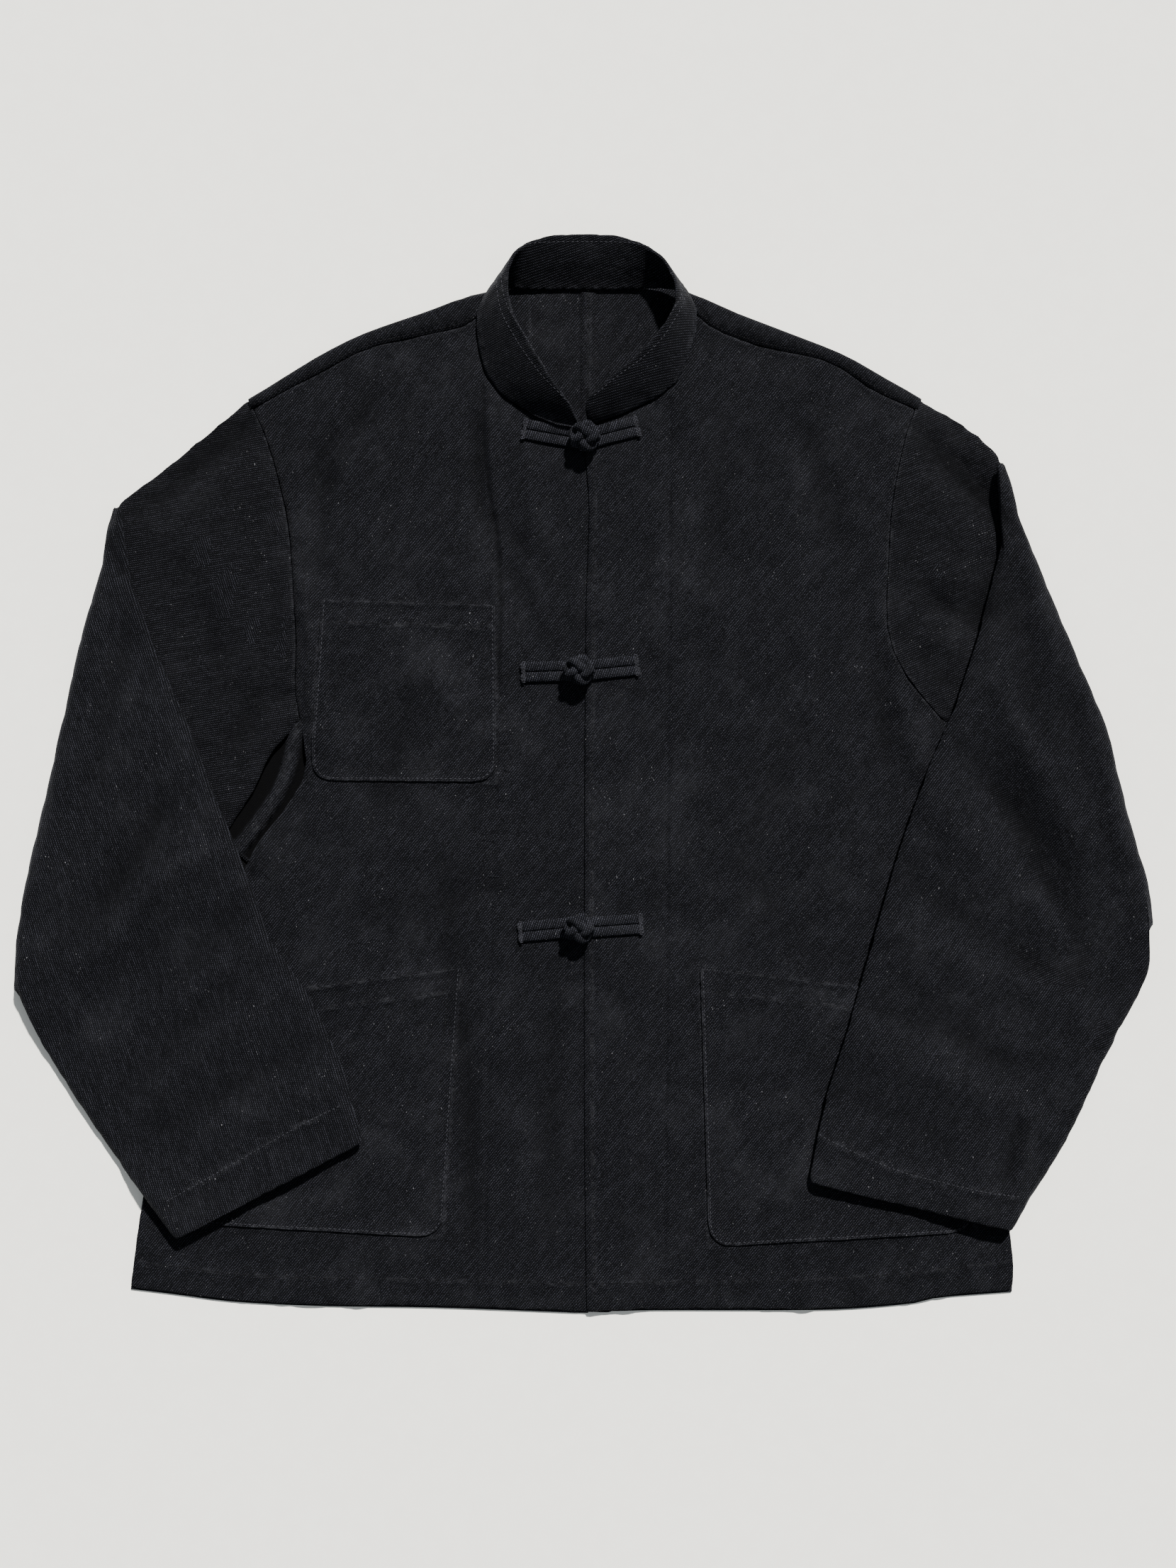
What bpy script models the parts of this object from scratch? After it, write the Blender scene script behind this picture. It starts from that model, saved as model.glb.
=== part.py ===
"""Mandarin collar jacket in black cotton twill, buttoned and laid flat with its sleeves folded in.

Metres, +Z up. The jacket lies on its back on the plane z = 0, its collar towards +Y.
Left and right are the wearer's, so the right half of the jacket is on the -X side.
The tables give places in millimetres, and the functions turn them into metres.
"""
import math

import bmesh
import bpy
from mathutils import Vector
from mathutils.geometry import delaunay_2d_cdt

MM = 0.001

# Cloth and seams
CLOTH = 1.4 * MM
POCKET_CLOTH = 1.3 * MM
COLLAR_CLOTH = 2.4 * MM
SEAM_GAP = 0.3 * MM
FRONT_LIFT = CLOTH + SEAM_GAP
OVERLAP_LIFT = CLOTH + 2 * SEAM_GAP

# How full the flat body lies
BODY_LOFT = 2.4 * MM
SHOULDER_LIFT = 1.6 * MM
LOFT_RUN = 60 * MM
SHOULDER_START = 190 * MM
SHOULDER_RUN = 90 * MM
HEM_LEVEL = -372 * MM

# Mesh steps
EDGE_STEP = 14 * MM
FRONT_STEP = 29 * MM
BACK_STEP = 48 * MM

# Sleeve build
ARMHOLE_STEPS = 12
FOLD_TURNS = 5
UPPER_RINGS = 5
LOWER_RINGS = 9
FOLD_OUTER = 9.5 * MM
FOLD_INNER = 1.6 * MM

# Outlines of the wearer's right half, columns x and y in mm
RIGHT_NECK = ((-74, 321), (-74, 310), (-72, 297), (-69, 284), (-60, 269), (-46, 257), (-21, 247), (-5, 244))
RIGHT_SHOULDER_SEAM = ((-74, 321), (-88, 313), (-125, 305), (-153, 298), (-188, 280), (-211, 268), (-232, 256))
RIGHT_SHOULDER_FOLD = ((-66, 338), (-86, 334), (-110, 325), (-153, 310), (-182, 296), (-207, 281), (-234, 264))
RIGHT_ARMHOLE = ((-232, 256), (-222, 233), (-214, 205), (-207, 172), (-204, 130), (-202, 90), (-203, 60), (-199, 37))
RIGHT_SIDE = ((-199, 37), (-195, 3), (-211, -27), (-237, -64), (-266, -154), (-291, -229), (-309, -292), (-319, -362))
RIGHT_BACK_SIDE = ((-199, 37), (-208.6, 12), (-215.4, -4), (-223.2, -20), (-238.6, -44), (-246, -62), (-267, -154),
                   (-291, -229), (-309, -292), (-319, -362))
RIGHT_HEM = ((-319, -362), (-286, -366), (-246, -371), (-186, -374), (-111, -375), (-51, -377), (22, -380))
RIGHT_FRONT_EDGE = ((22, -380), (21, -60), (19, 241))

# Outlines of the wearer's left half, columns x and y in mm
LEFT_NECK = ((79, 323), (77, 310), (72, 292), (66, 277), (53, 265), (33, 254), (8, 244))
LEFT_SHOULDER_SEAM = ((79, 323), (92, 312), (118, 302), (147, 295), (175, 288), (204, 269), (233, 256))
LEFT_SHOULDER_FOLD = ((72, 338), (88, 333), (105, 325), (144, 310), (182, 295), (209, 280), (236, 264))
LEFT_ARMHOLE = ((233, 256), (226, 235), (217, 189), (214, 137), (213, 108), (218, 85), (230, 64), (252, 38))
LEFT_SIDE = ((252, 38), (260, -4), (273, -104), (288, -229), (300, -319), (303, -349), (302, -364))
LEFT_HEM = ((302, -364), (251, -368), (233, -372), (188, -376), (143, -377), (53, -377), (10, -378))
LEFT_FRONT_EDGE = ((10, -378), (4, -375), (2, -366), (0.5, -200), (1.5, 90), (4, 180), (2, 215), (1, 240))

BACK_NECK_LEVEL = 345
CENTRE_BACK = 3.5


def smooth(value):
    """Soft step from 0 to 1."""
    value = min(max(value, 0.0), 1.0)
    return value * value * (3 - 2 * value)


def curve(table, step=EDGE_STEP, count=None):
    """Even points, in metres, along a smooth curve through a table of places in mm."""
    knots = [Vector((x, y)) * MM for x, y in table]
    ends = [2 * knots[0] - knots[1]] + knots + [2 * knots[-1] - knots[-2]]
    fine = []
    for a, b, c, d in zip(ends, ends[1:], ends[2:], ends[3:]):
        for part in range(12):
            t = part / 12
            fine.append(0.5 * ((2 * b) + (c - a) * t + (2 * a - 5 * b + 4 * c - d) * t * t
                               + (3 * b - a - 3 * c + d) * t ** 3))
    fine.append(knots[-1])
    lengths = [0.0]
    for p, q in zip(fine, fine[1:]):
        lengths.append(lengths[-1] + (q - p).length)
    steps = count or max(1, round(lengths[-1] / step))
    points = []
    place = 0
    for k in range(steps + 1):
        target = lengths[-1] * k / steps
        while place < len(fine) - 2 and lengths[place + 1] < target:
            place += 1
        span = lengths[place + 1] - lengths[place]
        points.append(fine[place].lerp(fine[place + 1], (target - lengths[place]) / span))
    return points


def outline(*stretches):
    """One closed outline from stretches that follow each other."""
    points = []
    for stretch in stretches:
        for point in stretch:
            if not points or (point - points[-1]).length > 0.5 * MM:
                points.append(point)
    if (points[0] - points[-1]).length < 0.5 * MM:
        points.pop()
    return points


def turned_area(points):
    """Twice the area inside an outline, above zero where it runs anticlockwise."""
    return sum(p.x * q.y - q.x * p.y for p, q in zip(points, points[1:] + points[:1]))


def drawn_in(points, distance):
    """The outline moved inwards all round, anticlockwise."""
    if turned_area(points) < 0:
        points = points[::-1]
    result = []
    for before, here, after in zip(points[-1:] + points[:-1], points, points[1:] + points[:1]):
        first = (here - before).normalized()
        second = (after - here).normalized()
        normal = Vector((-first.y - second.y, first.x + second.x)).normalized()
        lean = max(0.4, normal.dot(Vector((-first.y, first.x))))
        result.append(here + normal * distance / lean)
    return result


def inside(points, place):
    """Whether a place lies inside an outline."""
    hit = False
    for p, q in zip(points, points[1:] + points[:1]):
        if (p.y > place.y) != (q.y > place.y):
            if place.x < p.x + (q.x - p.x) * (place.y - p.y) / (q.y - p.y):
                hit = not hit
    return hit


def distance_to(points, place):
    """Shortest way from a place to an outline."""
    best = 1.0
    for p, q in zip(points, points[1:] + points[:1]):
        along = q - p
        share = min(max((place - p).dot(along) / along.length_squared, 0), 1)
        best = min(best, (p + along * share - place).length)
    return best


def filled(points, spacing, lines=()):
    """Places and triangles that fill an outline, with each extra line kept as a chain of edges."""
    places = list(points)
    edges = [(k, (k + 1) % len(points)) for k in range(len(points))]
    for line in lines:
        start = len(places)
        places += line
        edges += [(start + k, start + (k + 1) % len(line)) for k in range(len(line))]
    fixed = list(places)
    left = min(p.x for p in points)
    right = max(p.x for p in points)
    low = min(p.y for p in points)
    high = max(p.y for p in points)
    row = 0
    y = low + spacing / 2
    while y < high:
        x = left + spacing * (0.25 + 0.5 * (row % 2))
        while x < right:
            place = Vector((x, y))
            near = min((place - other).length for other in fixed)
            if near > 0.55 * spacing and inside(points, place) and distance_to(points, place) > 0.4 * spacing:
                places.append(place)
            x += spacing
        y += spacing * math.sqrt(3) / 2
        row += 1
    flat, _, faces, _, _, _ = delaunay_2d_cdt(places, edges, [], 0, 1e-7)
    kept = []
    for face in faces:
        middle = sum((flat[k] for k in face), Vector((0, 0))) / len(face)
        if inside(points, middle):
            kept.append(face)
    return flat, kept


def cloth_material(name, colour, roughness):
    """Plain dark cotton for one piece."""
    material = bpy.data.materials.new(name + "_cloth")
    material.use_nodes = True
    shader = material.node_tree.nodes["Principled BSDF"]
    shader.inputs["Base Color"].default_value = (*colour, 1)
    shader.inputs["Roughness"].default_value = roughness
    shader.inputs["Metallic"].default_value = 0.0
    return material


BLACK_TWILL = (0.012, 0.013, 0.018)
POCKET_TWILL = (0.015, 0.016, 0.021)
FROG_TWILL = (0.009, 0.009, 0.012)


def finish(bm, name, colour=BLACK_TWILL, smooth_faces=True):
    """Turn a bmesh into a named object with its own material."""
    bmesh.ops.recalc_face_normals(bm, faces=bm.faces)
    mesh = bpy.data.meshes.new(name)
    bm.to_mesh(mesh)
    bm.free()
    if smooth_faces:
        mesh.shade_smooth()
        mesh.set_sharp_from_angle(angle=math.radians(50))
    mesh.materials.append(cloth_material(name, colour, 0.85))
    thing = bpy.data.objects.new(name, mesh)
    bpy.context.collection.objects.link(thing)
    return thing


# Broad folds in the fronts, columns from x, from y, to x, to y, half width and height in mm
FRONT_FOLDS = (
    (-150, 235, -182, 170, 22, 1.6),
    (-182, 170, -196, 120, 20, 1.2),
    (-72, 200, -62, 130, 20, 0.9),
    (206, 80, 238, 0, 24, 1.8),
    (150, 215, 196, 190, 22, 1.2),
    (-30, -190, -36, -330, 26, 0.9),
    (48, -210, 44, -340, 26, 0.9),
)


def fold_height(folds, place):
    """Height of soft ridges and troughs at a place."""
    height = 0.0
    for x1, y1, x2, y2, half_width, tall in folds:
        start = Vector((x1, y1)) * MM
        along = Vector((x2, y2)) * MM - start
        share = min(max((place - start).dot(along) / along.length_squared, 0), 1)
        away = (start + along * share - place).length
        height += tall * MM * math.exp(-(away / (half_width * MM)) ** 2)
    return height


def side_room(place):
    """How far inside the body's side seam a place lies; above the armholes it grows quickly."""
    table = RIGHT_SIDE if place.x < 0 else LEFT_SIDE
    y = place.y / MM
    if y >= table[0][1]:
        edge = abs(table[0][0]) + (y - table[0][1])
    else:
        edge = abs(table[-1][0])
        for (x1, y1), (x2, y2) in zip(table, table[1:]):
            if y2 <= y <= y1:
                edge = abs(x1 + (x2 - x1) * (y1 - y) / (y1 - y2))
                break
    return edge * MM - abs(place.x)


def body_level(place):
    """Underside of the front cloth above the table that the jacket lies on."""
    fullness = smooth(side_room(place) / LOFT_RUN) * smooth((place.y - HEM_LEVEL) / LOFT_RUN)
    shoulder = SHOULDER_LIFT * smooth((place.y - SHOULDER_START) / SHOULDER_RUN)
    return FRONT_LIFT + fullness * (BODY_LOFT + fold_height(FRONT_FOLDS, place)) + shoulder


def upper_level(place):
    """Underside of the left front, which lies over the right one at the opening."""
    return body_level(place) + OVERLAP_LIFT * (1 - smooth((place.x - 26 * MM) / (30 * MM)))


def thick_panel(name, places, faces, level, thickness, colour=BLACK_TWILL):
    """A panel of cloth whose underside follows a level."""
    bm = bmesh.new()
    used = sorted({k for face in faces for k in face})
    corners = {k: bm.verts.new((*places[k], level(places[k]))) for k in used}
    for face in faces:
        bm.faces.new([corners[k] for k in face])
    made = bmesh.ops.extrude_face_region(bm, geom=bm.faces[:])["geom"]
    upper = [item for item in made if isinstance(item, bmesh.types.BMVert)]
    bmesh.ops.translate(bm, verts=upper, vec=(0, 0, thickness))
    return finish(bm, name, colour)


def pocket_outline(top_left, top_right, bottom_right, bottom_left, corner):
    """Patch pocket with two rounded lower corners, clockwise from its top left."""
    tl, tr, br, bl = (Vector(place) * MM for place in (top_left, top_right, bottom_right, bottom_left))
    points = [tl]
    stretches = []
    radius = corner * MM
    for before, here, after in ((tr, br, bl), (br, bl, tl)):
        first = here + (before - here).normalized() * radius
        last = here + (after - here).normalized() * radius
        stretches.append([first.lerp(here, t).lerp(here.lerp(last, t), t) for t in (0, 0.25, 0.5, 0.75, 1)])
    for target in ([tr], stretches[0], stretches[1], [tl]):
        run = target[0] - points[-1]
        steps = max(1, round(run.length / (1.6 * EDGE_STEP)))
        points += [points[-1] + run * k / steps for k in range(1, steps)]
        points += target
    points.pop()
    return points


# Patch pockets: corners in mm, clockwise from the top left, and the radius of the lower corners
POCKETS = {
    "chest_pocket": ((-184, 122), (-62, 118), (-61, -6), (-192, -5), 16),
    "hip_pocket_right": ((-250, -158), (-86, -137), (-99, -326), (-286, -316), 18),
    "hip_pocket_left": ((82, -137), (262, -158), (276, -322), (88, -333), 18),
}


def make_front(name, edges, level, pocket_names):
    """One front panel with the patch pockets that lie on it."""
    shape = drawn_in(outline(*edges), SEAM_GAP / 2)
    pockets = {key: pocket_outline(*POCKETS[key]) for key in pocket_names}
    places, faces = filled(shape, FRONT_STEP, list(pockets.values()))
    thick_panel(name, places, faces, level, CLOTH)
    for key, edge in pockets.items():
        part = [face for face in faces
                if inside(edge, sum((places[k] for k in face), Vector((0, 0))) / len(face))]
        thick_panel(key, places, part, lambda place: level(place) + CLOTH + SEAM_GAP,
                    POCKET_CLOTH, POCKET_TWILL)


def make_back(name, side, neck, shoulder_fold, shoulder_seam, armhole, side_seam, hem):
    """One half of the back: flat on the table, and wrapped over the shoulder to the front seam."""
    radius = (body_level(Vector((0, 280 * MM))) + CLOTH) / 2
    columns = 14
    fold = curve(shoulder_fold, count=columns)
    seam = curve(shoulder_seam, count=columns)
    outward = [(f - s).normalized() for f, s in zip(fold, seam)]
    start = [f - n * radius for f, n in zip(fold, outward)]
    centre = CENTRE_BACK * MM
    lower_hem = [point - Vector((0, 1.5 * MM)) for point in curve(hem)]
    lower_hem = [point for point in lower_hem if (point.x - centre) * side > EDGE_STEP / 2]
    middle = [Vector((centre, lower_hem[-1].y)), Vector((centre, BACK_NECK_LEVEL * MM))]
    rise = [middle[0].lerp(middle[1], k / 20) for k in range(21)]
    shape = outline(rise, curve(neck), start, curve(armhole, count=ARMHOLE_STEPS), curve(side_seam), lower_hem)
    shape = drawn_in(shape, SEAM_GAP / 2)
    places, faces = filled(shape, BACK_STEP)
    bm = bmesh.new()
    used = sorted({k for face in faces for k in face})
    corners = {k: bm.verts.new((*places[k], 0)) for k in used}
    for face in faces:
        bm.faces.new([corners[k] for k in face])
    bottom_row = [corners[min(used, key=lambda k: (places[k] - point).length)] for point in start]
    rows = [bottom_row]
    for turn in range(1, FOLD_TURNS + 1):
        angle = math.pi * turn / FOLD_TURNS
        row = []
        for point, n in zip(start, outward):
            place = point + n * radius * math.sin(angle)
            row.append(bm.verts.new((*place, radius * (1 - math.cos(angle)))))
        rows.append(row)
    last = []
    for point, n in zip(seam, outward):
        last.append(bm.verts.new((*(point + n * SEAM_GAP / 2), 2 * radius)))
    rows.append(last)
    for lower, upper in zip(rows, rows[1:]):
        for a, b, c, d in zip(lower, lower[1:], upper[1:], upper):
            bm.faces.new((a, b, c, d))
    bmesh.ops.recalc_face_normals(bm, faces=bm.faces)
    bm.faces.ensure_lookup_table()
    if bm.faces[0].normal.z > 0:
        bmesh.ops.reverse_faces(bm, faces=bm.faces)
    return finish_sheet(bm, name, CLOTH)


def finish_sheet(bm, name, thickness, colour=BLACK_TWILL):
    """Turn an open sheet, whose normals point out, into cloth that is thick inwards."""
    mesh = bpy.data.meshes.new(name)
    bm.to_mesh(mesh)
    bm.free()
    mesh.shade_smooth()
    mesh.materials.append(cloth_material(name, colour, 0.85))
    thing = bpy.data.objects.new(name, mesh)
    bpy.context.collection.objects.link(thing)
    wall = thing.modifiers.new("wall", "SOLIDIFY")
    wall.thickness = thickness
    wall.offset = -1
    wall.use_even_offset = False
    wall.use_rim = True
    return thing


# Sleeves, folded over along their outer edge. Places in mm, x and y.
# "over" runs along the fold, from the shoulder corner to the elbow. "top" and "under" are the edges
# before the fold, "inner" and "outer" the same two edges after it, down to the cuff.
SLEEVES = {
    "sleeve_right": {
        "armhole": RIGHT_ARMHOLE, "tip": (-235.4, 263.6),
        "top": ((-235.4, 263.6), (-270, 236), (-307, 206), (-324, 194)),
        "under": ((-199, 37), (-221, -14), (-243, -54), (-320, -105), (-395, -152)),
        "over": ((-333, 189), (-338, 145), (-351, 100), (-365, 40), (-387, -50), (-399, -110), (-404, -154)),
        "inner": ((-324, 188), (-321, 158), (-309, 110), (-289, 65), (-266, 10), (-251, -33), (-237, -64),
                  (-226, -104), (-196, -147), (-176, -184), (-163, -219), (-154, -258)),
        "outer": ((-395, -156), (-375, -200), (-336, -260), (-307, -297), (-285, -326)),
    },
    "sleeve_left": {
        "armhole": LEFT_ARMHOLE, "tip": (237.4, 263.6),
        "top": ((237.4, 263.6), (261, 250), (283, 235), (291, 227)),
        "under": ((252, 38), (285, 22), (340, -38), (392, -104)),
        "over": ((298, 222), (302, 190), (320, 145), (345, 85), (370, 25), (386, -40), (400, -80), (404.1, -108)),
        "inner": ((290, 220), (294, 190), (290, 145), (277, 100), (258, 43), (238, -2), (213, -77),
                  (193, -150), (176, -204), (163, -250), (157, -286)),
        "outer": ((395, -112), (396, -140), (367, -200), (339, -260), (311, -302), (300, -320)),
    },
}
SLEEVE_DEPTH = 7.0 * MM
HANGING_LOW = 2.0 * MM
ON_BODY = 10.6 * MM

# Soft folds in the top layer of the sleeves, columns as in FRONT_FOLDS
SLEEVE_FOLDS = (
    (-330, 120, -372, -60, 20, 1.8),
    (-300, 60, -330, -60, 18, -1.8),
    (-250, -70, -330, -130, 20, 1.6),
    (-230, -200, -330, -220, 22, 1.4),
    (300, 60, 340, -40, 20, 1.8),
    (250, -20, 330, -110, 22, 1.6),
    (215, -120, 330, -150, 20, -1.6),
    (200, -210, 300, -240, 22, 1.5),
)
UPPER_SLEEVE_FOLDS = (
    (-330, 178, -235, 236, 16, -2.4),
    (-222, 200, -262, 90, 22, 1.2),
    (232, 240, 290, 196, 18, -2.2),
    (262, 120, 284, 96, 14, -2.2),
    (235, 190, 262, 140, 20, 1.2),
)


def shifted(points, distance):
    """An open line moved to its left, looking along it, by a distance."""
    moved = []
    for k, point in enumerate(points):
        run = (points[min(k + 1, len(points) - 1)] - points[max(k - 1, 0)]).normalized()
        moved.append(point + Vector((-run.y, run.x)) * distance)
    return moved


def blend_edges(start, end, first, last, share, across):
    """A place inside four edges: start and end curves joined along a first and a last side."""
    straight = start.lerp(end, share)
    return straight + (first[0] - first[1]) * (1 - across) + (last[0] - last[1]) * across


def below(table, place):
    """How far a place lies below a table of places that runs sideways, in metres."""
    rows = sorted(table)
    x = min(max(place.x / MM, rows[0][0]), rows[-1][0])
    for (x1, y1), (x2, y2) in zip(rows, rows[1:]):
        if x1 <= x <= x2:
            return (y1 + (y2 - y1) * (x - x1) / (x2 - x1)) * MM - place.y
    return 0.0


def folded_floor(table, place):
    """Underside of the folded part of a sleeve: on the body and upper sleeve, or sagging past them."""
    over_body = smooth((side_room(place) + 26 * MM) / (24 * MM))
    over_sleeve = smooth((30 * MM - below(table["under"], place)) / (26 * MM))
    return HANGING_LOW + (ON_BODY - HANGING_LOW) * max(over_body, over_sleeve)


def make_sleeve(name, table):
    """One flattened tube from the armhole to the fold, over it and down to the cuff."""
    armhole = curve(table["armhole"], count=ARMHOLE_STEPS)
    side = -1 if armhole[0].x < 0 else 1
    near_pit = armhole[-1].lerp(armhole[-2], 0.25)
    mouth = [Vector(table["tip"]) * MM] + armhole[:-1] + [near_pit, armhole[-1]]
    mouth = shifted(mouth, side * SEAM_GAP * 0.6)
    lengths = [0.0]
    for p, q in zip(mouth, mouth[1:]):
        lengths.append(lengths[-1] + (q - p).length)
    shares = [length / lengths[-1] for length in lengths]
    fold_line = curve(table["over"], count=40)
    cuff = [Vector(table["inner"][-1]) * MM, Vector(table["outer"][-1]) * MM]
    on_fold = [fold_line[round(share * 40)] for share in shares]
    run = (fold_line[-1] - fold_line[0]).normalized()
    inward = Vector((-run.y, run.x)) if side < 0 else Vector((run.y, -run.x))
    start_fold = [point + inward * FOLD_OUTER for point in on_fold]
    top = curve(table["top"], count=UPPER_RINGS)
    under = curve(table["under"], count=UPPER_RINGS)
    inner = curve(table["inner"], count=LOWER_RINGS)
    outer = curve(table["outer"], count=LOWER_RINGS)
    last = len(mouth) - 1

    def fullness(j):
        """No height at the two edges of the flattened tube, full height between them."""
        return 0.0 if j in (0, last) else 1.0

    rings = []
    for k in range(UPPER_RINGS + 1):
        share = k / UPPER_RINGS
        ring_low = []
        ring_high = []
        for j in range(last + 1):
            first = (top[k], mouth[0].lerp(start_fold[0], share))
            final = (under[k], mouth[last].lerp(start_fold[last], share))
            place = blend_edges(mouth[j], start_fold[j], first, final, share, shares[j])
            if k == 0:
                place = mouth[j]
            seam_top = body_level(mouth[j]) + CLOTH
            rise = seam_top + (FOLD_OUTER - FOLD_INNER - seam_top) * smooth(share)
            rise += fold_height(UPPER_SLEEVE_FOLDS, place) * math.sin(math.pi * share) ** 0.5
            full = fullness(j)
            ring_low.append(Vector((*place, rise / 2 * (1 - full))))
            ring_high.append(Vector((*place, rise / 2 * (1 + full))))
        rings.append((ring_low, ring_high))
    for turn in range(1, FOLD_TURNS + 1):
        angle = math.pi * turn / FOLD_TURNS
        ring_low = []
        ring_high = []
        for j in range(last + 1):
            full = fullness(j)
            middle = (FOLD_OUTER + FOLD_INNER) / 2
            half = (FOLD_OUTER - FOLD_INNER) / 2 * full
            for ring, radius in ((ring_low, middle + half), (ring_high, middle - half)):
                place = start_fold[j] - inward * radius * math.sin(angle)
                ring.append(Vector((*place, FOLD_OUTER - radius * math.cos(angle))))
        rings.append((ring_low, ring_high))
    for k in range(1, LOWER_RINGS + 1):
        share = k / LOWER_RINGS
        ring_low = []
        ring_high = []
        for j in range(last + 1):
            goal = cuff[0].lerp(cuff[1], shares[j])
            first = (inner[k], start_fold[0].lerp(cuff[0], share))
            final = (outer[k], start_fold[last].lerp(cuff[1], share))
            place = blend_edges(start_fold[j], goal, first, final, share, shares[j])
            near_fold = 1 - smooth(share * 3.0)
            floor = folded_floor(table, place)
            floor += (FOLD_OUTER + FOLD_INNER - floor) * near_fold
            full = fullness(j)
            deep = SLEEVE_DEPTH + fold_height(SLEEVE_FOLDS, place)
            ring_low.append(Vector((*place, floor + deep / 2 * (1 + full))))
            ring_high.append(Vector((*place, floor + deep / 2 * (1 - full))))
        rings.append((ring_low, ring_high))

    bm = bmesh.new()
    loops = []
    for ring_low, ring_high in rings:
        around = ring_low + ring_high[-2:0:-1]
        loops.append([bm.verts.new(place) for place in around])
    for one, two in zip(loops, loops[1:]):
        for a, b, c, d in zip(one, one[1:] + one[:1], two[1:] + two[:1], two):
            bm.faces.new((a, b, c, d))
    bmesh.ops.recalc_face_normals(bm, faces=bm.faces)
    lowest = min(bm.faces, key=lambda face: (round(face.calc_center_median().z, 6), -face.calc_area()))
    if lowest.normal.z > 0:
        bmesh.ops.reverse_faces(bm, faces=bm.faces)
    return finish_sheet(bm, name, CLOTH)


# Stand collar from the right front end, round the back, to the left front end.
# Columns: base x, base y, base z, rim x, rim y, rim z in mm
COLLAR = (
    (-6, 245, 7.6, -12, 261, 22),
    (-21, 247.5, 7.2, -17, 270, 27),
    (-40, 254, 6.9, -25, 282, 30),
    (-57, 266, 6.9, -34, 297, 32),
    (-68, 282, 7.2, -42, 310, 33),
    (-72.5, 298, 7.8, -51, 325, 34),
    (-74, 312, 8.4, -55, 342, 34),
    (-73.5, 325, 9.0, -54, 356, 33),
    (-67, 337, 9.2, -48, 368, 30),
    (-52, 340.5, 5.5, -39, 374, 26),
    (-28, 340, 4.2, -24, 378.7, 23),
    (0, 340, 4.2, 0, 379.7, 22),
    (28, 340, 4.2, 25, 378.7, 23),
    (54, 340.5, 5.5, 43, 373, 26),
    (72, 338, 9.2, 56, 364, 30),
    (78.5, 326, 9.0, 66, 348, 33),
    (78, 312, 8.4, 67, 333, 34),
    (73, 295, 7.8, 60, 320, 34),
    (66, 277, 7.4, 48, 305, 33),
    (53, 265, 7.6, 34, 292, 31),
    (33, 254.5, 8.6, 19, 280, 29),
    (8, 246, 9.6, 4, 264, 25),
)


def make_collar():
    """The band between its seam and its rim, bulging a little outwards."""
    bm = bmesh.new()
    rows = []
    for share in (0, 0.25, 0.5, 0.75, 1):
        row = []
        for bx, by, bz, rx, ry, rz in COLLAR:
            base = Vector((bx, by, bz)) * MM
            rim = Vector((rx, ry, rz)) * MM
            bulge = Vector((0, 0, 2.2 * MM * math.sin(math.pi * share)))
            row.append(bm.verts.new(base.lerp(rim, share) + bulge))
        rows.append(row)
    for lower, upper in zip(rows, rows[1:]):
        for a, b, c, d in zip(lower, lower[1:], upper[1:], upper):
            bm.faces.new((a, d, c, b))
    lengthways = [edge for row in rows for edge in bm.edges if set(edge.verts) <= set(row)]
    bmesh.ops.subdivide_edges(bm, edges=lengthways, cuts=1)
    bmesh.ops.recalc_face_normals(bm, faces=bm.faces)
    front = min(bm.faces, key=lambda face: (face.calc_center_median() - Vector((-60, 280, 20)) * MM).length)
    if front.normal.z > 0:
        bmesh.ops.reverse_faces(bm, faces=bm.faces)
    return finish_sheet(bm, "collar", COLLAR_CLOTH)


# Knotted fastenings from the neck down, columns: tail start x, y, knot x, y, loop end x, y in mm
FROGS = (
    (-43, 242, 1, 235, 39, 244),
    (-44, 71, -3, 72, 39, 76),
    (-46, -111.5, -3, -108, 42, -105.5),
)
CORD_WIDTH = 7.4 * MM
CORD_HEIGHT = 2.6 * MM
KNOT_RADIUS = 9.5 * MM
KNOT_HEIGHT = 15 * MM
KNOT_NEST = 0.4 * MM
LOOP_UNDER_KNOT = -0.6 * MM
TAIL_UNDER_KNOT = -3.4 * MM


def make_strip(name, start, end, level):
    """Two cords side by side, lying on a front from one place to another."""
    along = (end - start).normalized()
    across = Vector((-along.y, along.x))
    profile = [(-1, 0), (-1, 0.5), (-0.8, 0.9), (-0.5, 1), (-0.2, 0.9), (0, 0.55),
               (0.2, 0.9), (0.5, 1), (0.8, 0.9), (1, 0.5), (1, 0)]
    bm = bmesh.new()
    loops = []
    stations = ((0, 0.8), (0.04, 1), (0.3, 1), (0.65, 1), (1, 0.86))
    for share, broad in stations:
        middle = start.lerp(end, share)
        loop = []
        for side, tall in profile:
            place = middle + across * side * CORD_WIDTH * broad
            loop.append(bm.verts.new((*place, level(place) + CLOTH + 1.5 * SEAM_GAP + tall * CORD_HEIGHT)))
        loops.append(loop)
    for one, two in zip(loops, loops[1:]):
        for a, b, c, d in zip(one, one[1:] + one[:1], two[1:] + two[:1], two):
            bm.faces.new((a, b, c, d))
    bm.faces.new(loops[0])
    bm.faces.new(loops[-1])
    return finish(bm, name, FROG_TWILL)


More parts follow.
